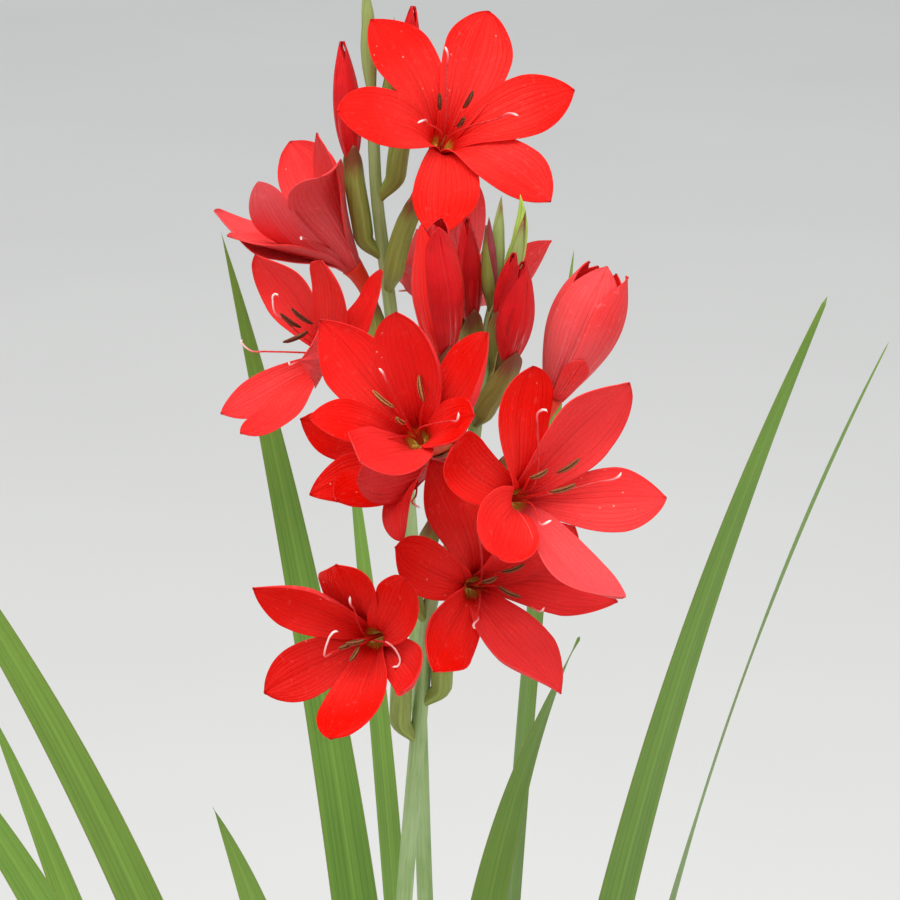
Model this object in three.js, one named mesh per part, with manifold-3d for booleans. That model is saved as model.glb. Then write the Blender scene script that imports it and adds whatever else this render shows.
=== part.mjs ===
// Crimson flag lily in a clay pot: two flower spikes and their sword leaves.
// Millimetres, +Z up. The pot stands on Z = 0 around the Z axis and the flowers face -Y.
// Pieces that touch on the real plant keep a gap of 0.3 mm here.
import * as THREE from "three";
import Module from "manifold-3d";

const wasm = await Module();
wasm.setup();

// Pot and soil
const POT_HEIGHT = 180;
const POT_BASE_RADIUS = 66;
const POT_BODY_TOP_RADIUS = 88;
const POT_RIM_RADIUS = 97;
const POT_RIM_HEIGHT = 42;
const POT_WALL = 9;
const POT_FLOOR = 11;
const POT_SIDES = 22;
const SOIL_TOP = 150;
const GAP = 0.3;

// Flower
const TEPAL_LENGTH = 33;
const TEPAL_WIDTH = 15;
const TEPAL_THICKNESS = 0.8;
const TEPAL_CUP = 0.25;
const TEPAL_FOOT = 2.2;
const TEPAL_ROOT = 2;
const TEPAL_START_ANGLE = 15;
const TUBE_RADIUS = 1.2;
const THROAT_RADIUS = 3.4;
const FLARE_LENGTH = 7;
const THREAD_LENGTH = 12.5;
const ANTHER_LENGTH = 5.5;
const ANTHER_RADIUS = 0.65;
const THREAD_RADIUS = 0.35;
const STYLE_LENGTH = 22;

// Spathe: the pair of bracts that sheathes the foot of a flower or a bud
const SPATHE_LENGTH = 20;
const SPATHE_WALL = 0.7;
const SPATHE_POINT = 4;

// Stems and leaves
const STEM_RADIUS = 2;
const STEM_TIP_RADIUS = 0.9;
const LEAF_THICKNESS = 1.2;
const LEAF_FOOT_WIDTH = 0.55;

// Colours
const TEPAL_RED = 0xd3160f;
const BUD_RED = 0xa80f1c;
const STEM_GREEN = 0x8fae78;
const SPATHE_GREEN = 0x8a9152;
const LEAF_GREEN = 0x5c8a33;
const CLAY = 0xb5653f;
const SOIL_BROWN = 0x3a2a1e;

// Centre lines of the two stems, from the soil up
const FRONT_STEM = [
  [-12, -14, 150.3], [-14, -9, 260], [-12, -3, 360], [-6, 0, 440], [0, 0, 515], [2, 0, 536],
  [8, 0, 554], [11.5, 0, 577], [13.8, 0, 595], [15.4, 0.5, 606],
];
const BACK_STEM = [
  [8, 26, 150.3], [6, 32, 260], [3, 37, 360], [0, 41, 440], [-2.7, 45, 527], [-3.6, 45, 542],
  [-6.8, 45, 583], [-8.7, 45, 600], [-10, 45, 612], [-10.8, 45, 637],
];

// Open flowers. foot: where the tube leaves the stem. throat: where the tepals part.
// face: degrees to the right of -Y and degrees above level.
// tepals: degrees round the axis from the top (to the left as the flower is looked at),
// opening angle from the axis halfway along and at the tip, then length and width where
// they differ from the usual ones.
// stamens: degrees round the axis, opening angle, and the anther's reach from the thread's end
// where it turns aside. styles: degrees, opening angle, length, and how far right and up the
// tip curls where it does.
const FLOWERS = [
  {
    name: "front_flower_1", foot: [-4.8, -1.5, 505], throat: [-8.7, -22, 537.5], face: [-30, 10],
    tepals: [[-2, 48, 16, 30, 13], [53, 39, 39, 32, 13], [130, 32, 59, 28.5, 11.5],
      [206, 33, 13, 32, 15.5], [260, 55, -14, 31, 11], [319, 58, 51, 32, 11]],
    stamens: [[318, 13, [-3.4, -1.7, -1.1]], [303, 21, [-3.8, -1.3, -0.2]],
      [290, 14, [-1.8, -3, -2]]],
    styles: [[108, 2, 19.5, [3, 5.1]], [288, 39, 15, [0.8, -5.3]], [347, 34, 20, [0, 1.3]]],
  },
  {
    name: "front_flower_2", foot: [4.2, -1.5, 513], throat: [10.3, -14, 545.2], face: [28, 14],
    tepals: [[18, 89, 83, 33, 14], [60, 74, 41, 31.5, 11.5], [115, 54, 44, 32.5, 13.5],
      [197, 35, 65, 34, 15], [258, 29, 52, 35, 13], [319, 33, 30, 32.5, 15]],
    stamens: [[344, 20, [4.9, -0.9, 2.1]], [49, 21, [3.1, -1.6, 1.7]], [4, 7, [4.7, -2.3, -1.5]]],
    styles: [[14, 47, 21], [112, 27, 20, [-0.2, -1.8]], [236, 21, 20, [0.5, 0.8]]],
  },
  {
    name: "front_flower_3", foot: [-2.3, -1.5, 534], throat: [3.3, -2, 568.5], face: [-38, 12],
    tepals: [[67, 34, 36, 32.5, 13], [128, 19, 41, 31.5, 11], [166, 8, 5, 32, 14],
      [215, 22, 99, 31, 9.5], [283, 4, -8, 34, 13], [0, 50, 60]],
  },
  {
    name: "front_flower_4", foot: [7, -0.5, 538], throat: [18.3, -34, 572], face: [46, 18],
    rise: [1, 0.1, 0.45],
    tepals: [[6, 66, 54, 32, 13.5], [48, 91, 23, 29, 11.5], [108, 60, 47, 29.5, 15],
      [171, 49, -4, 33.5, 16], [259, 45, 66, 31, 13], [316, 48, 54, 34, 17]],
    stamens: [[42, 33, [3.5, -0.6, 2]], [338, 22, [4.4, -0.5, 3.2]], [52, 11, [5, -0.9, 2]]],
    styles: [[356, 53, 21, [1, -0.2]], [272, 34, 21, [0.8, 1.2]], [108, 32, 19, [1.8, 1]]],
  },
  {
    name: "front_flower_5", foot: [9.6, -4.2, 567], throat: [0, -28, 582], face: [-22, 40],
    tepals: [[-1, 28, 30, 32.5, 15], [53, 45, 45, 33, 13], [111, 27, 55, 28.5, 9.5],
      [174, 23, 33, 30, 16], [267, 39, 39, 31.5, 10.5], [308, 48, 39, 34, 14.5]],
    stamens: [[42, 12, [-4.2, -0.4, 3.7]], [320, 26, [-1, 0.3, 5.4]], [234, 7, [-1.6, -4.5, 2.7]]],
    styles: [[28, 21, 21, [-0.3, 0.3]], [275, 39, 21, [0.1, 0.5]], [150, 25, 15]],
  },
  {
    name: "half_open_flower", foot: [10.4, 0.5, 549], throat: [27, 2, 581], face: [128, 60],
    start: 38,
    tepals: [[0, 6, -30, 29, 12], [60, 8, -28, 30], [120, 6, -30, 29, 12], [180, 8, -28, 30],
      [240, 6, -30, 29, 12], [300, 8, -28, 30]],
    stamens: [],
    styles: [],
  },
  {
    name: "back_flower_1", foot: [-1, 44, 562], throat: [9.4, 36, 591], face: [192, 10],
    tepals: [[75, 64, 48, 29.5, 11.5], [-5, 60, 55], [-53, 11, -5, 32, 15.5], [-125, 20, 15],
      [175, 80, 75], [115, 15, 15]],
  },
  {
    name: "back_flower_2", foot: [-8.2, 42.6, 546], throat: [-19, 30, 580.8], face: [-44, 22],
    tepals: [[40, 55, 40, 29.5, 14.5], [-32, 52, 30, 32.5, 13], [-49, 77, 45, 32, 9.5],
      [-89, 40, -12, 33, 14], [-174, 48, 13, 32.5, 10], [149, 58, 30, 29, 11]],
    stamens: [[344, 29, [-4.6, -0.5, 3.8]], [10, 21, [-4.4, -0.5, 3.4]],
      [338, 21, [-5.5, -2.6, -1.7]]],
    styles: [[31, 22, 19, [0.9, 3.5]], [115, 22, 20, [-1.6, 2.5]], [200, 15, 15]],
  },
  {
    name: "back_flower_3", foot: [-9.5, 46, 568], throat: [-16, 46, 597], face: [-61, 49],
    tepals: [[182, 28, 25], [-144, 7, -20, 35, 11], [-77, 11, 74, 35, 16], [0, 25, 20],
      [60, 50, 50], [146, 34, -3, 34, 14]],
  },
  {
    name: "back_flower_4", foot: [-6.5, 41, 594], throat: [3.9, 34, 626], face: [20, 48],
    tepals: [[30, 60, 75], [90, 60, 75], [163, 80, 73, 33, 14], [210, 70, 85], [270, 60, 75],
      [330, 60, 75]],
  },
];
const USUAL_STAMENS = [[60, 14], [180, 14], [300, 14]];
const USUAL_STYLES = [[0, 30], [120, 30], [240, 30]];

// Closed buds: the foot on the stem, where the tepals begin, the tip, and the bud's radius
const BUDS = [
  { name: "front_bud_1", foot: [6.3, -1.5, 571], start: [4.6, -8, 593], tip: [2.6, -14, 622.5],
    radius: 4.7 },
  { name: "front_bud_2", foot: [12.6, -4.2, 577], start: [17.7, -10, 592.5],
    tip: [20.6, -14, 614.5], radius: 3.5 },
  { name: "front_bud_3", foot: [8.3, 0, 583], start: [10.3, -0.5, 598], tip: [9.2, -4, 620.8],
    radius: 2.3 },
  { name: "front_bud_4", foot: [16.8, 0.4, 585], start: [15.9, -6, 601],
    tip: [18.9, -7, 614.3], radius: 1.7 },
  { name: "back_bud_1", foot: [-12.9, 44.6, 600], start: [-15.5, 47, 620], tip: [-17.5, 50, 646],
    radius: 2.6 },
  { name: "back_bud_2", foot: [-6, 44.6, 614], start: [-4, 43, 632], tip: [-2, 42, 655],
    radius: 2.3 },
];

// Closed spathes at the stem tips, each round a bud too young to show: foot, tip and radius
const TIP_SPATHES = [
  { name: "front_tip_spathe_1", foot: [14.2, -2.9, 603], tip: [13.8, -3.4, 621], radius: 1.5 },
  { name: "front_tip_spathe_2", foot: [15.6, 0.5, 606.6], tip: [16.4, 0, 624.5], radius: 1.4 },
  { name: "front_tip_spathe_3", foot: [17.6, 3, 605], tip: [20.2, 3, 624], radius: 1.6 },
  { name: "front_tip_spathe_4", foot: [16.6, -1.6, 600], tip: [21.2, -1, 621.7], radius: 1.4 },
  { name: "back_tip_spathe_1", foot: [-11.2, 45, 637.8], tip: [-12.5, 44, 662], radius: 1.6 },
  { name: "back_tip_spathe_2", foot: [-8, 45.5, 628], tip: [-6, 47, 652], radius: 1.5 },
];

// Leaves: foot on the soil, the direction it leans (degrees round Z from +X), length, width,
// lean from upright at the foot and at the tip, and the turn of the blade out of its plane
const LEAVES = [
  { foot: [-20, -15], toward: 185, length: 400, width: 12, lean: [4, 34], turn: 25 },
  { foot: [-26, -8], toward: 160, length: 300, width: 11, lean: [12, 52], turn: 40 },
  { foot: [-4, -17], toward: -20, length: 330, width: 11, lean: [6, 40], turn: 30 },
  { foot: [4, -12], toward: 15, length: 280, width: 12, lean: [14, 58], turn: 50 },
  { foot: [-14, -24], toward: -102, length: 260, width: 10, lean: [10, 48], turn: 66 },
  { foot: [-22, -24], toward: -140, length: 300, width: 11, lean: [14, 56], turn: 45 },
  { foot: [0, 30], toward: 150, length: 455, width: 12, lean: [2, 16], turn: 60 },
  { foot: [16, 28], toward: 5, length: 450, width: 13, lean: [3, 22], turn: 40 },
  { foot: [22, 22], toward: -15, length: 400, width: 11, lean: [10, 44], turn: 35 },
  { foot: [-8, 34], toward: 170, length: 430, width: 12, lean: [8, 36], turn: 30 },
  { foot: [12, 38], toward: 75, length: 440, width: 12, lean: [5, 30], turn: 60 },
  { foot: [4, 44], toward: 100, length: 400, width: 10, lean: [12, 52], turn: 50 },
  { foot: [24, 36], toward: 40, length: 430, width: 12, lean: [6, 38], turn: 45 },
  { foot: [-30, 0], toward: 145, length: 350, width: 11, lean: [8, 30], turn: 55 },
  { foot: [32, 8], toward: -50, length: 250, width: 10, lean: [16, 62], turn: 60 },
  { foot: [-36, -20], toward: 200, length: 240, width: 10, lean: [20, 66], turn: 40 },
];

// Leaves that grow from the stems, at the height of their third figure
const STEM_LEAVES = [
  { name: "front_stem_leaf", foot: [-18.4, -5, 322], toward: 178, length: 170, width: 10,
    lean: [3, 22], turn: 40 },
  { name: "back_stem_leaf", foot: [7.2, 39, 352], toward: 8, length: 160, width: 10,
    lean: [3, 26], turn: 40 },
];

const vector = (point) => new THREE.Vector3(...point);
const radians = (angle) => THREE.MathUtils.degToRad(angle);

function sum(...terms) {
  const total = new THREE.Vector3();
  for (const [direction, amount] of terms) total.addScaledVector(direction, amount);
  return total;
}

// A closed solid through rings of points, each ring counterclockwise around the way ahead.
// A ring of one point closes the solid to a tip there. On a thin blade the second half of
// each ring lies behind the first, and its faces are split the same way as those in front.
function loft(rings, blade = false) {
  const points = [];
  const faces = [];
  const starts = rings.map((ring) => {
    points.push(...ring);
    return points.length - ring.length;
  });
  for (let i = 0; i + 1 < rings.length; i += 1) {
    const count = Math.max(rings[i].length, rings[i + 1].length);
    for (let j = 0; j < count; j += 1) {
      const a = starts[i] + (j % rings[i].length);
      const b = starts[i] + ((j + 1) % rings[i].length);
      const c = starts[i + 1] + ((j + 1) % rings[i + 1].length);
      const d = starts[i + 1] + (j % rings[i + 1].length);
      const behind = blade && j >= count / 2;
      if (a !== b) faces.push([a, b, behind ? d : c]);
      if (c !== d) faces.push([behind ? b : a, c, d]);
    }
  }
  const last = rings.length - 1;
  for (let j = 1; j + 1 < rings[0].length; j += 1) {
    faces.push([starts[0], starts[0] + j + 1, starts[0] + j]);
  }
  for (let j = 1; j + 1 < rings[last].length; j += 1) {
    faces.push([starts[last], starts[last] + j, starts[last] + j + 1]);
  }
  return { points, faces };
}

function toManifold({ points, faces }) {
  const mesh = new wasm.Mesh({
    numProp: 3,
    vertProperties: Float32Array.from(points.flatMap((point) => point.toArray())),
    triVerts: Uint32Array.from(faces.flat()),
  });
  return new wasm.Manifold(mesh);
}

function toGeometry({ points, faces }) {
  const geometry = new THREE.BufferGeometry();
  geometry.setAttribute(
    "position",
    new THREE.Float32BufferAttribute(points.flatMap((point) => point.toArray()), 3),
  );
  geometry.setIndex(faces.flat());
  geometry.computeVertexNormals();
  return geometry;
}

function fromManifold(solid) {
  const mesh = solid.getMesh();
  const geometry = new THREE.BufferGeometry();
  geometry.setAttribute("position", new THREE.BufferAttribute(mesh.vertProperties, 3));
  geometry.setIndex(new THREE.BufferAttribute(mesh.triVerts, 1));
  geometry.computeVertexNormals();
  return geometry;
}

// Rings of points across a curve. shape gives [share of the way, radius, push], where push
// moves single points of the ring ahead along the curve.
function ringsAlong(curve, sides, shape) {
  const steps = 24;
  const frames = curve.computeFrenetFrames(steps, false);
  return shape.map(({ at, radius, push }) => {
    const centre = curve.getPointAt(at);
    const index = Math.round(at * steps);
    const normal = frames.normals[index];
    const binormal = frames.binormals[index];
    const ahead = frames.tangents[index];
    if (radius === 0) return [centre];
    return Array.from({ length: sides }, (unused, j) => {
      const turn = (j / sides) * 2 * Math.PI;
      return sum(
        [centre, 1],
        [normal, radius * Math.cos(turn)],
        [binormal, radius * Math.sin(turn)],
        [ahead, push ? push(j) : 0],
      );
    });
  });
}

// The axis of a flower and the two directions across it, up and left as it is looked at
function faceAxes([right, above]) {
  const axis = new THREE.Vector3(
    Math.sin(radians(right)) * Math.cos(radians(above)),
    -Math.cos(radians(right)) * Math.cos(radians(above)),
    Math.sin(radians(above)),
  );
  const up = sum([new THREE.Vector3(0, 0, 1), 1], [axis, -axis.z]).normalize();
  const left = new THREE.Vector3().crossVectors(axis, up);
  return { axis, up, left };
}

function acrossAxis({ up, left }, place) {
  return sum([up, Math.cos(radians(place))], [left, Math.sin(radians(place))]);
}

// The tube of a flower or bud: up along the stem at first, then out along the flower's axis
function tubeCurve(foot, throat, axis, rise = [0, 0, 1]) {
  const from = vector(foot);
  const to = vector(throat);
  const reach = from.distanceTo(to) * 0.33;
  return new THREE.CubicBezierCurve3(
    from,
    sum([from, 1], [vector(rise), reach]),
    sum([to, 1], [axis, -reach]),
    to,
  );
}

// A tepal: a thin lens in section, its edges raised toward the flower's axis. The opening
// angle runs as a parabola through its values at the foot, halfway and at the tip.
const TEPAL_ROWS = [[0, 0.14], [0.3, 0.5], [0.55, 1], [0.8, 0.84], [1, 0]];
function tepal(axes, throat, start, [place, half, tip, length = TEPAL_LENGTH,
  width = TEPAL_WIDTH]) {
  const out = acrossAxis(axes, place);
  const side = new THREE.Vector3().crossVectors(axes.axis, out);
  const openingAt = (s) => start * (1 - s) * (1 - 2 * s) + 4 * half * s * (1 - s)
    + tip * s * (2 * s - 1);
  const steps = 20;
  const centres = [sum([throat, 1], [out, TEPAL_FOOT])];
  for (let i = 0; i < steps; i += 1) {
    const angle = radians(openingAt((i + 0.5) / steps));
    const step = (length - TEPAL_FOOT) / steps;
    centres.push(sum([centres[i], 1], [axes.axis, Math.cos(angle) * step],
      [out, Math.sin(angle) * step]));
  }
  const rings = TEPAL_ROWS.map(([s, share]) => {
    const centre = centres[Math.round(s * steps)].clone();
    if (share === 0) return [centre];
    if (s === 0) centre.addScaledVector(axes.axis, -TEPAL_ROOT).addScaledVector(out, -1);
    const angle = radians(openingAt(s));
    const inner = sum([axes.axis, Math.sin(angle)], [out, -Math.cos(angle)]);
    const halfWidth = share * width / 2;
    const raised = [inner, TEPAL_CUP * halfWidth];
    return [
      sum([centre, 1], [side, halfWidth], raised),
      centre,
      sum([centre, 1], [side, -halfWidth], raised),
      sum([centre, 1], [inner, -TEPAL_THICKNESS]),
    ];
  });
  return loft(rings, true);
}

// A thread with an anther at its end
function stamen(axes, throat, [place, opening, reach]) {
  const ahead = sum(
    [axes.axis, Math.cos(radians(opening))],
    [acrossAxis(axes, place), Math.sin(radians(opening))],
  );
  const from = sum([throat, 1], [axes.axis, -2]);
  const joint = sum([throat, 1], [ahead, THREAD_LENGTH]);
  const tip = reach ? sum([joint, 1], [vector(reach), 1]) : sum([joint, 1], [ahead, ANTHER_LENGTH]);
  const thread = from.distanceTo(joint);
  return loft(ringsAlong(new THREE.CatmullRomCurve3([from, joint, tip]), 3, [
    { at: 0, radius: THREAD_RADIUS },
    { at: thread / (thread + joint.distanceTo(tip)), radius: ANTHER_RADIUS },
    { at: 1, radius: 0 },
  ]));
}

// A style branch: a thread that opens out and curls at its tip
function style(axes, throat, [place, opening, length = STYLE_LENGTH, curl]) {
  const out = acrossAxis(axes, place);
  const pointAt = (share, angle) => sum(
    [throat, 1],
    [axes.axis, Math.cos(radians(angle)) * length * share],
    [out, Math.sin(radians(angle)) * length * share],
  );
  const from = sum([throat, 1], [axes.axis, -2]);
  const bend = curl ? pointAt(0.8, opening * 0.95) : pointAt(0.5, opening * 0.68);
  const [right, up] = curl ?? [0, 0];
  const tip = sum([pointAt(1, opening), 1], [new THREE.Vector3(right, 0, up), 1]);
  const thread = from.distanceTo(bend);
  return loft(ringsAlong(new THREE.CatmullRomCurve3([from, bend, tip]), 3, [
    { at: 0, radius: THREAD_RADIUS },
    { at: thread / (thread + bend.distanceTo(tip)), radius: THREAD_RADIUS },
    { at: 1, radius: 0 },
  ]));
}

// An open flower in one piece: tube, tepals, stamens and style branches
function flower({ foot, throat, face, rise, tepals, stamens, styles, start }) {
  const axes = faceAxes(face);
  const centre = vector(throat);
  const curve = tubeCurve(foot, throat, axes.axis, rise);
  const total = curve.getLength();
  const sheath = SPATHE_LENGTH / total;
  const tube = loft(ringsAlong(curve, 6, [
    { at: (SPATHE_WALL + GAP + 0.3) / total, radius: TUBE_RADIUS },
    { at: sheath * 0.4, radius: TUBE_RADIUS },
    { at: sheath, radius: TUBE_RADIUS },
    { at: 1 - FLARE_LENGTH / total, radius: TUBE_RADIUS + 0.2 },
    { at: 1, radius: THROAT_RADIUS },
  ]));
  const pieces = [
    ...tepals.map((each) => tepal(axes, centre, start ?? TEPAL_START_ANGLE, each)),
    ...(stamens ?? USUAL_STAMENS).map((each) => stamen(axes, centre, each)),
    ...(styles ?? USUAL_STYLES).map((each) => style(axes, centre, each)),
  ];
  let solid = toManifold(tube);
  for (const piece of pieces) solid = solid.add(toManifold(piece));
  return fromManifold(solid);
}

// A bud: its hidden tube, then a spindle of closed tepals
function bud({ foot, start, tip, radius }) {
  const ahead = sum([vector(tip), 1], [vector(start), -1]).normalize();
  const tube = tubeCurve(foot, start, ahead);
  const spindle = new THREE.LineCurve3(vector(start), vector(tip));
  const total = tube.getLength();
  return toGeometry(loft([
    ...ringsAlong(tube, 6, [
      { at: (SPATHE_WALL + GAP + 0.3) / total, radius: TUBE_RADIUS * 0.8 },
      { at: 0.4 * (1 - SPATHE_POINT / total), radius: TUBE_RADIUS * 0.8 },
      { at: 1 - SPATHE_POINT / total, radius: TUBE_RADIUS * 0.8 },
    ]),
    ...ringsAlong(spindle, 6, [
      { at: 0, radius: TUBE_RADIUS * 0.8 },
      { at: 0.25, radius: radius * 0.9 },
      { at: 0.45, radius },
      { at: 0.7, radius: radius * 0.8 },
      { at: 1, radius: 0 },
    ]),
  ]));
}

// A spathe: an open sleeve round the foot of the tube, its mouth drawn out to two points
function spathe(curve, length, inside) {
  const total = curve.getLength();
  const end = Math.min(length / total, 1);
  const point = (j) => (j % 3 === 0 ? SPATHE_POINT : -0.6);
  const outside = ringsAlong(curve, 6, [
    { at: 0, radius: inside + SPATHE_WALL - 0.2 },
    { at: end * 0.4, radius: inside + SPATHE_WALL + 0.3 },
    { at: end, radius: inside + SPATHE_WALL + 0.4, push: point },
  ]);
  const bore = ringsAlong(curve, 6, [
    { at: end, radius: inside + 0.5, push: point },
    { at: end * 0.4, radius: inside },
    { at: SPATHE_WALL / total, radius: inside },
  ]);
  return toGeometry(loft([...outside, ...bore]));
}

function tipSpathe({ foot, tip, radius }) {
  const line = new THREE.LineCurve3(vector(foot), vector(tip));
  return toGeometry(loft(ringsAlong(line, 6, [
    { at: 0, radius: radius * 0.6 },
    { at: 0.3, radius },
    { at: 0.7, radius: radius * 0.8 },
    { at: 1, radius: 0 },
  ])));
}

function stem(points) {
  const curve = new THREE.CatmullRomCurve3(points.map(vector));
  const rows = 14;
  return toGeometry(loft(ringsAlong(curve, 6, Array.from({ length: rows + 1 }, (unused, i) => {
    const share = i / rows;
    return { at: share, radius: THREE.MathUtils.lerp(STEM_RADIUS, STEM_TIP_RADIUS, share ** 3) };
  }))));
}

// A sword leaf: a long blade with a raised midrib on both faces
const LEAF_ROWS = [[0, LEAF_FOOT_WIDTH], [0.15, 0.85], [0.38, 1], [0.6, 0.95], [0.79, 0.72],
  [0.92, 0.38], [1, 0]];
function leaf({ foot, toward, length, width, lean, turn }) {
  const outward = new THREE.Vector3(Math.cos(radians(toward)), Math.sin(radians(toward)), 0);
  const upward = new THREE.Vector3(0, 0, 1);
  const across = new THREE.Vector3().crossVectors(upward, outward);
  const leanAt = (s) => radians(lean[0] + (lean[1] - lean[0]) * s * s);
  const steps = 100;
  const centres = [new THREE.Vector3(foot[0], foot[1], foot[2] ?? SOIL_TOP + GAP + 1)];
  for (let i = 0; i < steps; i += 1) {
    const angle = leanAt((i + 0.5) / steps);
    centres.push(sum([centres[i], 1], [outward, Math.sin(angle) * length / steps],
      [upward, Math.cos(angle) * length / steps]));
  }
  return toGeometry(loft(LEAF_ROWS.map(([s, share]) => {
    const centre = centres[Math.round(s * steps)];
    if (share === 0) return [centre];
    const angle = leanAt(s);
    const inPlane = sum([outward, Math.cos(angle)], [upward, -Math.sin(angle)]);
    const twist = radians(turn * s);
    const edge = sum([inPlane, Math.cos(twist)], [across, Math.sin(twist)]);
    const face = sum([inPlane, -Math.sin(twist)], [across, Math.cos(twist)]);
    const half = width * share / 2;
    const thick = LEAF_THICKNESS * (1 - 0.5 * s) / 2;
    return [
      sum([centre, 1], [edge, half]),
      sum([centre, 1], [face, thick]),
      sum([centre, 1], [edge, -half]),
      sum([centre, 1], [face, -thick]),
    ];
  }), true));
}

const turned = (outline, sides) => {
  const points = outline.map(([radius, height]) => new THREE.Vector2(radius, height));
  return new THREE.LatheGeometry(points, sides).rotateX(Math.PI / 2);
};

function innerRadiusAt(height) {
  const share = height / (POT_HEIGHT - POT_RIM_HEIGHT);
  const body = THREE.MathUtils.lerp(POT_BASE_RADIUS, POT_BODY_TOP_RADIUS, share);
  return Math.min(body - POT_WALL, POT_BODY_TOP_RADIUS - POT_WALL + 3);
}

function pot() {
  const rimFoot = POT_HEIGHT - POT_RIM_HEIGHT;
  const inside = innerRadiusAt(POT_HEIGHT);
  return turned([
    [0, 0], [POT_BASE_RADIUS - 2, 0], [POT_BASE_RADIUS, 2], [POT_BODY_TOP_RADIUS, rimFoot],
    [POT_RIM_RADIUS - 3, rimFoot], [POT_RIM_RADIUS - 2, rimFoot + 1.5],
    [POT_RIM_RADIUS, POT_HEIGHT - 2], [POT_RIM_RADIUS - 2, POT_HEIGHT],
    [inside + 2, POT_HEIGHT], [inside, POT_HEIGHT - 2], [innerRadiusAt(SOIL_TOP), SOIL_TOP],
    [innerRadiusAt(POT_FLOOR), POT_FLOOR], [0, POT_FLOOR],
  ], POT_SIDES);
}

// The soil, level where the plants stand and sinking a little toward the pot's wall
function soil() {
  const wide = innerRadiusAt(SOIL_TOP - 3) - 0.5;
  const narrow = innerRadiusAt(POT_FLOOR) - 0.5;
  return turned([
    [0, POT_FLOOR + GAP], [narrow, POT_FLOOR + GAP], [wide, SOIL_TOP - 3],
    [wide - 14, SOIL_TOP], [0, SOIL_TOP],
  ], POT_SIDES);
}

function named(name, geometry, color, roughness) {
  const material = new THREE.MeshStandardMaterial({ color, roughness, metalness: 0 });
  const mesh = new THREE.Mesh(geometry, material);
  mesh.name = name;
  return mesh;
}

const plant = new THREE.Group();
plant.add(named("pot", pot(), CLAY, 0.85));
plant.add(named("soil", soil(), SOIL_BROWN, 0.95));
plant.add(named("front_stem", stem(FRONT_STEM), STEM_GREEN, 0.5));
plant.add(named("back_stem", stem(BACK_STEM), STEM_GREEN, 0.5));
for (const each of FLOWERS) {
  const curve = tubeCurve(each.foot, each.throat, faceAxes(each.face).axis, each.rise);
  plant.add(named(each.name, flower(each), TEPAL_RED, 0.45));
  plant.add(named(`${each.name}_spathe`, spathe(curve, SPATHE_LENGTH, TUBE_RADIUS + GAP),
    SPATHE_GREEN, 0.5));
}
for (const each of BUDS) {
  const ahead = sum([vector(each.tip), 1], [vector(each.start), -1]).normalize();
  const curve = tubeCurve(each.foot, each.start, ahead);
  plant.add(named(each.name, bud(each), BUD_RED, 0.45));
  plant.add(named(`${each.name}_spathe`,
    spathe(curve, curve.getLength() - SPATHE_POINT, TUBE_RADIUS * 0.8 + GAP), SPATHE_GREEN, 0.5));
}
for (const each of TIP_SPATHES) {
  plant.add(named(each.name, tipSpathe(each), SPATHE_GREEN, 0.5));
}
LEAVES.forEach((each, i) => plant.add(named(`leaf_${i + 1}`, leaf(each), LEAF_GREEN, 0.5)));
for (const each of STEM_LEAVES) {
  plant.add(named(each.name, leaf(each), LEAF_GREEN, 0.5));
}

export default plant;
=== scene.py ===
import math

import bpy
import numpy as np
from mathutils import Matrix, Vector


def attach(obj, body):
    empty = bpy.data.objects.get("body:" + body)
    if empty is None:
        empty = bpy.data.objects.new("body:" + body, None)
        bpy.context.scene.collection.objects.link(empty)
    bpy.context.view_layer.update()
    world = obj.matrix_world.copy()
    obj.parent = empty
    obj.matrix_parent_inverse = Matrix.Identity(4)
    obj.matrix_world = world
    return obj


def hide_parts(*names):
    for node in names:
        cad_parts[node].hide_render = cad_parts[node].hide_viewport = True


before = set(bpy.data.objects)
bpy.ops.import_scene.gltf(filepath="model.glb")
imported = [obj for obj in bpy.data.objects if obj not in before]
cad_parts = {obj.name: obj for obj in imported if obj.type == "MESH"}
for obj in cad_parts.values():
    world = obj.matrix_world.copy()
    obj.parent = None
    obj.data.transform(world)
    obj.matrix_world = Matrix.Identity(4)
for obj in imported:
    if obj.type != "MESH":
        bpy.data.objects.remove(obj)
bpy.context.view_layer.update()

# %% [markdown]
# ## Camera
# The picture was taken from close by, a little above the flowers, with a long lens. A camera
# can be placed by eye, or worked out from sizes that are known. Here the tepals are 33 mm
# long and cover so many pixels, which gives the distance: 0.52 m with a 100 mm lens.
# %% Camera
LOOKED_AT = Vector((0.006, 0.0, 0.570))
LOOK_DOWN = math.radians(20)
DISTANCE = 0.5208
LENS_MM = 100

camera_data = bpy.data.cameras.new("camera")
camera_data.lens = LENS_MM
camera = bpy.data.objects.new("camera", camera_data)
bpy.context.collection.objects.link(camera)
camera.location = LOOKED_AT + DISTANCE * Vector((0, -math.cos(LOOK_DOWN), math.sin(LOOK_DOWN)))
camera.rotation_euler = (math.pi / 2 - LOOK_DOWN, 0, 0)
bpy.context.scene.camera = camera
bpy.context.scene.view_settings.view_transform = "Standard"
print("camera at", [round(v, 3) for v in camera.location])

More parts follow.
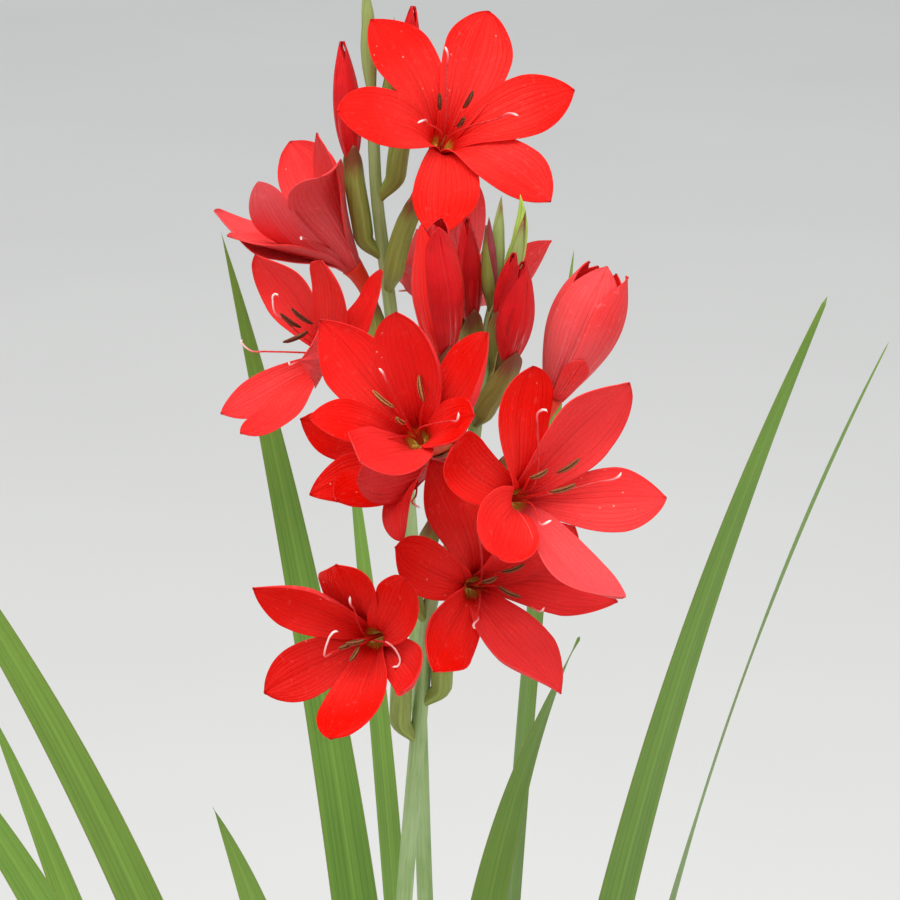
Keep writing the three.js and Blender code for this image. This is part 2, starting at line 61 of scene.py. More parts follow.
# %% [markdown]
# ## Shader maths
# A finish mixes many small patterns. They could be wired by hand, node by node. Here a small
# class wraps an output socket, so that a sum such as vein * 0.4 + mottle adds its own nodes,
# and one method makes any other kind of node. It reads like the recipe it is.
# %% A finish and its sockets
class Shade:
    """An output socket of a finish. Sums and products of it add their Math nodes."""

    def __init__(self, finish, socket):
        self.finish = finish
        self.socket = socket

    def math(self, operation, *others):
        inputs = dict(enumerate((self, *others)))
        return self.finish.node("Math", {"operation": operation}, inputs)

    def __add__(self, other):
        return self.math("ADD", other)

    def __sub__(self, other):
        return self.math("SUBTRACT", other)

    def __rsub__(self, other):
        return self.finish.node("Math", {"operation": "SUBTRACT"}, {0: other, 1: self})

    def __mul__(self, other):
        return self.math("MULTIPLY", other)

    def __pow__(self, other):
        return self.math("POWER", other)

    __radd__ = __add__
    __rmul__ = __mul__


class Finish:
    """A material with a Principled shader."""

    def __init__(self, name, **sockets):
        self.material = bpy.data.materials.new(name)
        self.material.use_nodes = True
        self.tree = self.material.node_tree
        self.shader = self.tree.nodes["Principled BSDF"]
        for socket, value in sockets.items():
            self.shader.inputs[socket.replace("_", " ")].default_value = value

    def node(self, kind, settings=None, inputs=None, output=0):
        """Adds a node: its type, its settings, then the values or links of its sockets."""
        node = self.tree.nodes.new("ShaderNode" + kind)
        for name, value in (settings or {}).items():
            if name == "stops":
                ramp = node.color_ramp.elements
                while len(ramp) < len(value):
                    ramp.new(0.5)
                for element, (place, colour) in zip(ramp, value):
                    element.position = place
                    element.color = (*colour, 1)
            else:
                setattr(node, name, value)
        for name, value in (inputs or {}).items():
            self.feed(node.inputs[name], value)
        return Shade(self, node.outputs[output])

    def feed(self, socket, value):
        if isinstance(value, Shade):
            self.tree.links.new(value.socket, socket)
        elif isinstance(value, tuple) and len(value) == 3 and socket.type == "RGBA":
            socket.default_value = (*value, 1)
        else:
            socket.default_value = value

    def mix(self, factor, first, second):
        """Two colours mixed, from the first at 0 to the second at 1."""
        settings = {"data_type": "RGBA", "blend_type": "MIX", "clamp_factor": True}
        return self.node("Mix", settings, {0: factor, 6: first, 7: second}, 2)

    def place(self):
        """Object coordinates in metres, the same for every piece."""
        return self.node("TexCoord", output="Object")

    def split(self, vector):
        """The three numbers of a vector."""
        first = self.node("SeparateXYZ", inputs={0: vector})
        return [Shade(self, socket) for socket in first.socket.node.outputs]

    def sheet(self):
        """Across and along a piece that was laid from a flat sheet, each from 0 to 1."""
        return self.split(self.node("UVMap", {"uv_map": "UVMap"}))[:2]

    def noise(self, where, scale, detail=3.0, roughness=0.55):
        """Soft noise from 0 to 1 around 0.5."""
        inputs = {"Vector": where, "Scale": scale, "Detail": detail, "Roughness": roughness}
        return self.node("TexNoise", inputs=inputs)

    def step(self, value, low, high):
        """0 below low, 1 above high, smooth between them."""
        settings = {"interpolation_type": "SMOOTHSTEP"}
        return self.node("MapRange", settings, {0: value, 1: low, 2: high})

    def part(self, name):
        """A number that the mesh keeps for each of its points."""
        return self.node("Attribute", {"attribute_name": name}, output="Fac")

    def bump(self, height, depth):
        """Relief of a given depth in metres."""
        normal = self.node("Bump", inputs={"Height": height, "Distance": depth, "Strength": 1.0})
        self.feed(self.shader.inputs["Normal"], normal)

    def done(self, colour, roughness):
        self.feed(self.shader.inputs["Base Color"], colour)
        self.feed(self.shader.inputs["Roughness"], roughness)
        print("finish", self.material.name, "has", len(self.tree.nodes), "nodes")
        return self.material


def darker(colour, share):
    """A colour with its share of light."""
    return tuple(c * share for c in colour)


# %% [markdown]
# ## Tepal finish
# A fresh tepal is satin scarlet. A dozen or so dark veins run along it and fade toward rim and tip,
# with finer ones between, two darker lines mark the midrib, the colour is mottled, and at the
# foot it pales to a small yellow green star with red streaks. A pink flush along the middle and
# pale pink streaks are partly the tepal's own colour and partly a painted satin sheen. Some
# tepals are tinted pinker and some darker: partly their own tone, partly a painted sheen on lit
# tepals and painted shade on tepals in shadow. The veins are drawn across the sheet's own
# coordinates, so they follow each tepal however it bends. A picture wrapped on it would stretch
# there. The back is paler and its veins stand out more. A little light passes through the thin
# tissue.
# %% Tepal finishes
def tepal_finish(name, bright, deep, pink, vein, roughness, star=0.0, pale=0.0):
    finish = Finish(name, Subsurface_Weight=0.14, Subsurface_Radius=(0.0016, 0.0003, 0.0002),
                    Subsurface_Scale=1.0, Specular_IOR_Level=0.09)
    where = finish.place()
    across, along = finish.sheet()
    middle = (across - 0.5).math("ABSOLUTE")
    wander = finish.noise(where, 130, 3) - 0.5
    fine = finish.noise(where, 700, 3) - 0.5
    inside = finish.step(middle, 0.47, 0.34) * finish.step(along, 0.97, 0.7)
    veins = ((across * 88 + wander * 2.6).math("SINE") * 0.5 + 0.5) ** 8 * inside
    lines = (across * 250 + wander * 6 + fine * 4).math("SINE") * 0.5 + 0.5
    stripe = finish.node("CombineXYZ", inputs={0: across * 34, 1: along * 1.6, 2: wander * 0.6})
    streaks = finish.noise(stripe, 1.0, 3, 0.65)
    mottle = finish.step(finish.noise(where, 60, 4, 0.6), 0.34, 0.68)
    tint = finish.part("tint")
    colour = finish.mix(mottle * 0.55, bright, deep)
    # Tints above 0 go toward pale pink, partly a painted sheen; tints below 0 go toward dark red,
    # partly painted shade.
    colour = finish.mix(tint.math("MAXIMUM", 0.0), colour, (0.95, 0.27, 0.31))
    colour = finish.mix((tint * -1).math("MAXIMUM", 0.0), colour, darker(deep, 0.35))
    # A pink flush with streaks along the middle, partly the tepal's own colour and partly painted
    # sheen.
    bloom = finish.step(along, 0.08, 0.22) * finish.step(along, 0.70, 0.30)
    colour = finish.mix(bloom * (streaks * 0.5), colour, pink)
    colour = finish.mix(finish.step(streaks, 0.42, 0.2) * vein, colour, darker(deep, 0.55))
    # Pale pink streaks, partly painted sheen.
    colour = finish.mix(finish.step(streaks, 0.56, 0.82) * vein * 0.7, colour, pink)
    colour = finish.mix((lines ** 3) * vein * 0.5, colour, darker(deep, 0.55))
    colour = finish.mix(veins * vein * streaks * 0.62, colour, darker(deep, 0.45))
    colour = finish.mix(finish.step(fine, 0.08, 0.26) * 0.3, colour, pink)
    low = finish.step(along, 0.55, 0.2) * finish.step(middle, 0.26, 0.06)
    colour = finish.mix(finish.step(streaks, 0.5, 0.66) * low * pale, colour, (0.90, 0.52, 0.56))
    rib = finish.step((middle - 0.012).math("ABSOLUTE"), 0.008, 0.002)
    colour = finish.mix(rib * finish.step(along, 0.85, 0.3) * 0.35, colour, darker(deep, 0.35))
    rim = finish.step(middle + fine * 0.03, 0.485, 0.5) * finish.step(along, 0.35, 0.8)
    colour = finish.mix(rim * 0.08, colour, pink)
    streak = along + (lines - 0.5) * 0.03 + wander * 0.03
    colour = finish.mix(finish.step(streak, 0.15, 0.08) * 0.25, colour, (0.50, 0.006, 0.004))
    colour = finish.mix(finish.step(streak, 0.085, 0.045) * star, colour, (0.85, 0.55, 0.06))
    speck = finish.node("TexVoronoi", inputs={"Vector": where, "Scale": 420.0})
    sparse = finish.step(finish.noise(where, 55, 2), 0.54, 0.64)
    dust = finish.step(speck, 0.12, 0.04) * sparse
    colour = finish.mix(dust * 0.6, colour, (0.92, 0.50, 0.36))
    finish.bump(lines * 0.2 + streaks * 0.9 - veins * 0.7 + finish.noise(where, 2600, 2) * 0.5,
                0.00011)
    return finish.done(colour, roughness + (mottle - 0.5) * 0.1 + fine * 0.12)


tepal_face = tepal_finish("tepal_face", (0.93, 0.0065, 0.0015), (0.74, 0.0035, 0.001),
                          (0.95, 0.085, 0.075), 0.24, 0.38, star=0.9)
tepal_back = tepal_finish("tepal_back", (0.88, 0.045, 0.044), (0.70, 0.018, 0.020),
                          (0.92, 0.22, 0.24), 0.34, 0.42, pale=0.4)
tepal_rim = tepal_finish("tepal_rim", (0.92, 0.012, 0.006), (0.74, 0.006, 0.004),
                         (0.94, 0.11, 0.11), 0.1, 0.42)

# %% [markdown]
# ## Small finishes of the flower
# Stamens have red threads and long maroon anthers whose split edges carry ochre pollen. Each
# style branch is a red thread that turns pink and ends in a white tip. The colour follows
# the way along each thread.
# %% Thread and anther finishes
def thread_finish(name, stops):
    finish = Finish(name, Subsurface_Weight=0.1, Subsurface_Radius=(0.0008, 0.0003, 0.0002))
    along = finish.sheet()[1]
    colour = finish.node("ValToRGB", {"stops": stops}, {0: along})
    speck = finish.noise(finish.place(), 1800, 2)
    colour = finish.mix(finish.step(speck, 0.5, 0.75) * 0.3, colour, (0.85, 0.3, 0.25))
    return finish.done(colour, 0.42 + (speck - 0.5) * 0.2)


filament_red = thread_finish("filament", [(0.0, (0.42, 0.20, 0.03)), (0.15, (0.62, 0.015, 0.01)),
                                          (1.0, (0.70, 0.02, 0.015))])
style_red = thread_finish("style_branch", [(0.0, (0.50, 0.012, 0.008)), (0.8, (0.70, 0.03, 0.03)),
                                           (0.9, (0.85, 0.25, 0.27)), (0.94, (0.93, 0.62, 0.60)),
                                           (1.0, (0.95, 0.85, 0.82))])


def anther_finish():
    finish = Finish("anther", Specular_IOR_Level=0.2)
    where = finish.place()
    across = finish.sheet()[0]
    grain = finish.noise(where, 2600, 3)
    split = finish.step((across * 2 * math.tau).math("COSINE") + (grain - 0.5) * 1.5
                        - finish.part("tint") * 1.3, 0.3, 0.9)
    colour = finish.mix(grain, (0.035, 0.006, 0.006), (0.14, 0.022, 0.016))
    colour = finish.mix(finish.part("tint") * 0.9, colour, (0.68, 0.34, 0.11))
    colour = finish.mix(split * finish.step(grain, 0.4, 0.6) * 0.9, colour, (0.78, 0.48, 0.17))
    groove = finish.step((across * 4 * math.tau).math("COSINE") + (grain - 0.5) * 1.2, 0.1, 0.6)
    colour = finish.mix(groove * 0.85, colour, (0.07, 0.008, 0.008))
    finish.bump(grain, 0.0004)
    return finish.done(colour, 0.75 + (grain - 0.5) * 0.2)


def throat_finish():
    finish = Finish("throat")
    across, along = finish.sheet()
    grain = finish.noise(finish.place(), 900, 3)
    spoke = (across * 6 * math.tau).math("SINE") * 0.5 + 0.5
    colour = finish.mix(grain, (0.88, 0.62, 0.07), (0.94, 0.76, 0.16))
    streak = (spoke ** 3) * finish.step(along, 0.05, 0.35) + (grain - 0.5) * 0.3
    colour = finish.mix(streak * 0.8, colour, (0.40, 0.01, 0.008))
    finish.bump(grain, 0.0001)
    return finish.done(colour, 0.5 + (grain - 0.5) * 0.2)


anther_maroon = anther_finish()
throat_yellow = throat_finish()

# %% [markdown]
# ## Green finishes
# Leaves, stems and bracts have parallel veins, a waxy bloom and a slow change of colour along
# their length. The bracts turn purple brown at the tips and edges. A picture could be wrapped
# on them, but noise stretched along the sheet gives veins of any length without a seam.
# %% Leaf, stem and bract finishes
def blade_finish(name, green, light, dark, tip, ribs, gloss, tip_from=0.9):
    finish = Finish(name, Subsurface_Weight=0.08, Subsurface_Radius=(0.0006, 0.001, 0.0003),
                    Specular_IOR_Level=0.28)
    where = finish.place()
    across, along = finish.sheet()
    wander = finish.noise(where, 40, 2) - 0.5
    stripe = finish.node("CombineXYZ", inputs={0: across * ribs, 1: along * 2.2, 2: wander})
    vein = finish.noise(stripe, 1.0, 3, 0.7)
    cloud = finish.noise(where, 28, 3)
    colour = finish.mix(finish.step(vein, 0.3, 0.7), dark, light)
    colour = finish.mix(0.5, colour, green)
    colour = finish.mix(finish.step(cloud, 0.35, 0.75) * 0.35, colour, light)
    rib = finish.step((across - 0.5).math("ABSOLUTE"), 0.05, 0.01)
    colour = finish.mix(rib * 0.55, colour, light)
    colour = finish.mix(finish.part("tint"), colour, tip)
    far = along + (vein - 0.5) * 0.45 + (cloud - 0.5) * 0.1
    colour = finish.mix(finish.step(far, tip_from, tip_from + 0.16) * 0.9, colour, tip)
    edge = finish.step((across - 0.5).math("ABSOLUTE") + (vein - 0.5) * 0.03, 0.46, 0.5)
    colour = finish.mix(edge * 0.6, colour, tip)
    finish.bump(vein * 0.8 + finish.noise(where, 1500, 2) * 0.3, 0.00012)
    return finish.done(colour, gloss + (vein - 0.5) * 0.14)


leaf_green = blade_finish("leaf_blade", (0.115, 0.245, 0.030), (0.20, 0.37, 0.055),
                          (0.070, 0.165, 0.020), (0.30, 0.26, 0.07), 26, 0.40, 0.975)
bract_green = blade_finish("bract", (0.20, 0.27, 0.045), (0.33, 0.40, 0.09), (0.15, 0.13, 0.03),
                           (0.20, 0.040, 0.022), 16, 0.45, 0.74)
pale_bract = blade_finish("pale_bract", (0.27, 0.37, 0.10), (0.40, 0.48, 0.16),
                          (0.20, 0.28, 0.07), (0.30, 0.10, 0.05), 16, 0.42, 0.85)
fresh_bract = blade_finish("fresh_bract", (0.36, 0.55, 0.07), (0.50, 0.66, 0.13),
                           (0.28, 0.44, 0.05), (0.40, 0.42, 0.08), 16, 0.42, 0.93)
maroon_bract = blade_finish("maroon_bract", (0.26, 0.030, 0.045), (0.36, 0.06, 0.06),
                            (0.16, 0.014, 0.028), (0.20, 0.03, 0.03), 16, 0.42, 0.9)


def stem_finish():
    finish = Finish("stem_skin", Subsurface_Weight=0.08, Subsurface_Radius=(0.0006, 0.001, 0.0003))
    where = finish.place()
    across, along = finish.sheet()
    stripe = finish.node("CombineXYZ", inputs={0: across * 14, 1: along * 30})
    vein = finish.noise(stripe, 1.0, 3, 0.65)
    bloom = finish.step(finish.noise(where, 55, 4), 0.35, 0.7)
    colour = finish.mix(finish.step(vein, 0.3, 0.7), (0.20, 0.33, 0.09), (0.34, 0.47, 0.18))
    colour = finish.mix(bloom * 0.5, colour, (0.42, 0.55, 0.28))
    finish.bump(vein + finish.noise(where, 1400, 2) * 0.4, 0.0001)
    return finish.done(colour, 0.46 + (bloom - 0.5) * 0.14)


stem_skin = stem_finish()

# %% [markdown]
# ## Bud and tube finishes
# A bud is deep satin crimson where its rolled tepals face out. Fine veins run up it, a few
# whitish pink streaks rise low along the middle of a tepal, and one tepal may be brighter
# than its neighbour. The flower's tube below the star goes from scarlet to dull orange green.
# %% Bud and tube finishes
def bud_finish(name, bright, deep, lit, pale, foot, foot_ends=0.1, top=0.0):
    finish = Finish(name, Subsurface_Weight=0.08, Subsurface_Radius=(0.001, 0.0003, 0.0002),
                    Specular_IOR_Level=0.15)
    where = finish.place()
    across, along = finish.sheet()
    middle = (across - 0.5).math("ABSOLUTE")
    wander = finish.noise(where, 140, 3) - 0.5
    stripe = finish.node("CombineXYZ", inputs={0: across * 30, 1: along * 1.4, 2: wander * 0.8})
    streaks = finish.noise(stripe, 1.0, 3, 0.65)
    veins = ((across * 100 + wander * 3).math("SINE") * 0.5 + 0.5) ** 6
    mottle = finish.step(finish.noise(where, 110, 4, 0.6), 0.35, 0.68)
    tint = finish.part("tint")
    colour = finish.mix(mottle * 0.6, bright, deep)
    colour = finish.mix(tint.math("MAXIMUM", 0.0), colour, lit)
    colour = finish.mix((tint * -1).math("MAXIMUM", 0.0), colour, darker(deep, 0.35))
    colour = finish.mix(finish.step(streaks, 0.46, 0.25) * 0.5, colour, darker(deep, 0.5))
    colour = finish.mix(veins * 0.14, colour, darker(deep, 0.5))
    low = finish.step(along, 0.48, 0.25) * finish.step(middle, 0.14, 0.05)
    colour = finish.mix(finish.step(streaks, 0.50, 0.64) * low * 0.75, colour, pale)
    colour = finish.mix(finish.step(along + wander * 0.08, foot_ends, 0.0), colour, foot)
    colour = finish.mix(finish.step(along + wander * 0.2, 0.6, 0.95) * top, colour, lit)
    rim = finish.step(middle + wander * 0.01, 0.475, 0.5)
    colour = finish.mix(rim * 0.35, colour, lit)
    finish.bump(streaks * 0.9 + veins * 0.3 + finish.noise(where, 2400, 2) * 0.5, 0.0001)
    return finish.done(colour, 0.40 + (mottle - 0.5) * 0.12)


bud_crimson = bud_finish("bud_skin", (0.76, 0.012, 0.015), (0.46, 0.005, 0.008),
                         (0.95, 0.016, 0.012), (0.86, 0.42, 0.42), (0.28, 0.16, 0.05))
tube_orange = bud_finish("tube_skin", (0.58, 0.10, 0.024), (0.46, 0.060, 0.014),
                         (0.78, 0.030, 0.014), (0.60, 0.36, 0.14), (0.30, 0.24, 0.05),
                         foot_ends=0.7, top=0.85)

# %% [markdown]
# ## Sheets, lines and profiles
# Almost every part of this plant is a sheet that bends: a tepal, a bract, a leaf, a thread
# rolled to a tube. Each could be pushed and pulled by hand, but they have to follow solids
# that are there already. So each starts as a grid primitive, its points are laid along the
# piece's own centre line in code, and modifiers and edit mode operators finish it.
# %% Helpers that lay a sheet
MM = 0.001
WELDED = 0.004  # millimetres within which points become one


def clear_selection():
    if bpy.context.object and bpy.context.object.mode != "OBJECT":
        bpy.ops.object.mode_set(mode="OBJECT")
    bpy.ops.object.select_all(action="DESELECT")


def pick(*pieces):
    """Selects these pieces alone, the first of them active."""
    clear_selection()
    for piece in pieces:
        piece.select_set(True)
    bpy.context.view_layer.objects.active = pieces[0]


def edit_all(piece, operator, **options):
    """Runs an edit mode operator on all of a piece."""
    pick(piece)
    bpy.ops.object.mode_set(mode="EDIT")
    bpy.ops.mesh.select_all(action="SELECT")
    operator(**options)
    bpy.ops.object.mode_set(mode="OBJECT")


def points_of(piece):
    """The points of a piece in metres, one row each."""
    flat = np.empty(len(piece.data.vertices) * 3)
    piece.data.vertices.foreach_get("co", flat)
    return flat.reshape(-1, 3)


def lay_points(piece, points):
    """Moves each point of a piece to its row, in millimetres."""
    piece.data.vertices.foreach_set("co", (points * MM).ravel())
    piece.data.update()


def sheet(name, columns, rows, place, *materials):
    """A grid of faces whose points are laid where place(u, v) says, in millimetres."""
    clear_selection()
    bpy.ops.mesh.primitive_grid_add(x_subdivisions=columns, y_subdivisions=rows, size=1)
    made = bpy.context.object
    made.name = name
    u, v = points_of(made)[:, :2].T + 0.5
    lay_points(made, place(u, v))
    for material in materials:
        made.data.materials.append(material)
    return made


def keep_shade(piece, shade):
    """Keeps a number on each point, which the finish reads as the tint of this piece."""
    kept = piece.data.attributes.get("tint") or piece.data.attributes.new("tint", "FLOAT", "POINT")
    kept.data.foreach_set("value", np.full(len(piece.data.vertices), shade, np.float32))


def finish_mesh(piece, shade=0.0, thickness=0.0, weld=False):
    """Welds a sheet's seam and ends, gives it its thickness and shade, and makes it smooth."""
    if weld:
        edit_all(piece, bpy.ops.mesh.remove_doubles, threshold=WELDED * MM)
    pick(piece)
    if thickness:
        wall = piece.modifiers.new("wall", "SOLIDIFY")
        wall.thickness = thickness * MM
        wall.offset = -1
        wall.material_offset = 1
        wall.material_offset_rim = 2
        bpy.ops.object.modifier_apply(modifier=wall.name)
    bpy.ops.object.shade_smooth()
    keep_shade(piece, shade)
    return piece


def remap(piece, axis, change):
    """Changes the sheet coordinate across (0) or along (1) a piece."""
    uv = piece.data.uv_layers["UVMap"].data
    flat = np.empty(len(uv) * 2)
    uv.foreach_get("uv", flat)
    flat[axis::2] = change(flat[axis::2])
    uv.foreach_set("uv", flat)
    return piece


def join(name, pieces):
    pick(*pieces)
    if len(pieces) > 1:
        bpy.ops.object.join()
    joined = bpy.context.object
    joined.name = name
    joined.data.name = name
    return joined


def place_on_plant(piece, node):
    """The piece stands for a solid, which is hidden, and rides as it does."""
    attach(piece, "root")
    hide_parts(node)


# %% Helpers that follow a line
def unit(vectors):
    vectors = np.asarray(vectors, float)
    return vectors / np.linalg.norm(vectors, axis=-1, keepdims=True)


def eased(*stops):
    """A smooth curve through (place, value) stops, as a function."""
    x, y = np.array(stops, float).T
    slope = np.gradient(y, x)

    def value(t):
        t = np.clip(t, x[0], x[-1])
        i = np.clip(np.searchsorted(x, t, side="right") - 1, 0, len(x) - 2)
        step = x[i + 1] - x[i]
        f = (t - x[i]) / step
        return ((1 + 2 * f) * (1 - f) ** 2 * y[i] + f * (1 - f) ** 2 * step * slope[i]
                + f ** 2 * (3 - 2 * f) * y[i + 1] + f ** 2 * (f - 1) * step * slope[i + 1])

    return value


def rounded(*stops):
    """Straight from stop to stop, for profiles that close in a few steps at an end."""
    x, y = np.array(stops, float).T
    return lambda t: np.interp(t, x, y)


class Line:
    """A line through points, read by the share of its length, with two directions across."""

    def __init__(self, points, across=None):
        self.points = np.array(points, float)
        steps = np.linalg.norm(np.diff(self.points, axis=0), axis=1)
        self.length = steps.sum()
        self.share = np.concatenate([[0], np.cumsum(steps)]) / self.length
        self.ahead = unit(np.gradient(self.points, axis=0))
        first = np.array(across if across is not None else (0.0, -1.0, 0.0))
        normals = []
        for ahead in self.ahead:
            first = first - ahead * first.dot(ahead)
            first = first / np.linalg.norm(first)
            normals.append(first)
        self.normal = np.array(normals)
        self.side = np.cross(self.ahead, self.normal)

    def at(self, share, values=None):
        values = self.points if values is None else values
        return np.stack([np.interp(share, self.share, values[:, k]) for k in range(3)], axis=-1)

    def around(self, share, angle, radius):
        """Points at an angle and radius around the line."""
        normal = unit(self.at(share, self.normal))
        side = unit(self.at(share, self.side))
        out = np.cos(angle)[:, None] * normal + np.sin(angle)[:, None] * side
        return self.at(share) + np.asarray(radius).reshape(-1, 1) * out


def bezier(a, b, c, d, count=60):
    t = np.linspace(0, 1, count)[:, None]
    a, b, c, d = (np.array(point, float) for point in (a, b, c, d))
    return (1 - t) ** 3 * a + 3 * (1 - t) ** 2 * t * b + 3 * (1 - t) * t ** 2 * c + t ** 3 * d


def smooth_through(points, count=160):
    """A smooth line through points, spaced by the distance between them."""
    points = np.array(points, float)
    place = np.concatenate([[0], np.cumsum(np.linalg.norm(np.diff(points, axis=0), axis=1))])
    at = np.linspace(0, place[-1], count)
    return np.stack([eased(*zip(place, points[:, k]))(at) for k in range(3)], axis=1)


def ends(v):
    """1 along a sheet and 0 at both of its ends, which closes a rolled one."""
    return np.clip(np.minimum(v, 1 - v) * 1000, 0, 1)


def rod(name, points, radius, sides, rows, material, shade=0.0):
    """A rod along a line, closed at both ends."""
    line = points if isinstance(points, Line) else Line(points)
    made = sheet(name, sides, rows,
                 lambda u, v: line.around(v, u * math.tau, radius(v) * ends(v)), material)
    return finish_mesh(made, shade, weld=True)


# %% [markdown]
# ## Stems
# A stem is a thin tapering rod, a little ridged, that changes direction slightly wherever a
# flower leaves it. A curve with a round bevel would give a plain rod, but a sheet laid round
# the line carries the ridges too and closes at its tip. Each row is a point of the line in
# millimetres, from the soil up. The feet of flowers and buds are led on down into the stem,
# as they grow from it.
# %% Stems
STEMS = {
    "front_stem": [(-12, -14, 150.3), (-14, -9, 260), (-12, -3, 360), (-6, 0, 440), (0, 0, 515),
                   (2, 0, 536), (8, 0, 554), (11.5, 0, 577), (13.8, 0, 595), (15.4, 0.5, 606)],
    "back_stem": [(8, 26, 150.3), (6, 32, 260), (3, 37, 360), (0, 41, 440), (-2.7, 45, 527),
                  (-3.6, 45, 542), (-6.8, 45, 583), (-8.7, 45, 600), (-10, 45, 612),
                  (-10.8, 45, 637)],
}
STEM_RADIUS, TIP_RADIUS, RIDGES, RIDGE_SHARE = 2.1, 1.25, 5, 0.03
stem_lines = {name: Line(smooth_through(points, 260)) for name, points in STEMS.items()}
for name, line in stem_lines.items():
    def lay(u, v, line=line):
        ridged = 1 + RIDGE_SHARE * np.cos(u * math.tau * RIDGES)
        radius = (STEM_RADIUS + (TIP_RADIUS - STEM_RADIUS) * v ** 3) * ridged
        return line.around(v, u * math.tau, radius * ends(v) * np.clip((1 - v) * 60, 0, 1) ** 0.5)

    made = sheet(f"{name}_skin", 20, 240, lay, stem_skin)
    place_on_plant(finish_mesh(made, weld=True), name)
print("stems:", {name: round(line.length) for name, line in stem_lines.items()}, "mm long")


# %% A line that starts in a stem
def nearest_stem(point):
    """The stem whose line passes closest to a point, and the index of its closest point."""
    away = {name: np.linalg.norm(stem.points - point, axis=1)
            for name, stem in stem_lines.items()}
    name = min(away, key=lambda each: away[each].min())
    return stem_lines[name], int(away[name].argmin())


# How far below its foot a line starts in the stem, and how gently it bends out of it.
ROOT_LENGTH, ROOT_BEND = 4.0, 2.5


def rooted(line):
    """The same line, its foot led on down into the nearest stem."""
    stem, index = nearest_stem(line.points[0])
    step = stem.length / (len(stem.points) - 1)
    index = max(0, index - round(ROOT_LENGTH / step))
    joint = min(ROOT_LENGTH / line.length, 0.3)
    onto, ahead = (line.at(np.array([joint]), each)[0] for each in (line.points, line.ahead))
    start = bezier(stem.points[index], stem.points[index] + stem.ahead[index] * ROOT_BEND,
                   onto - unit(ahead) * ROOT_BEND, onto, 16)
    return Line(np.vstack([start[:-1], line.points[line.share > joint]]))
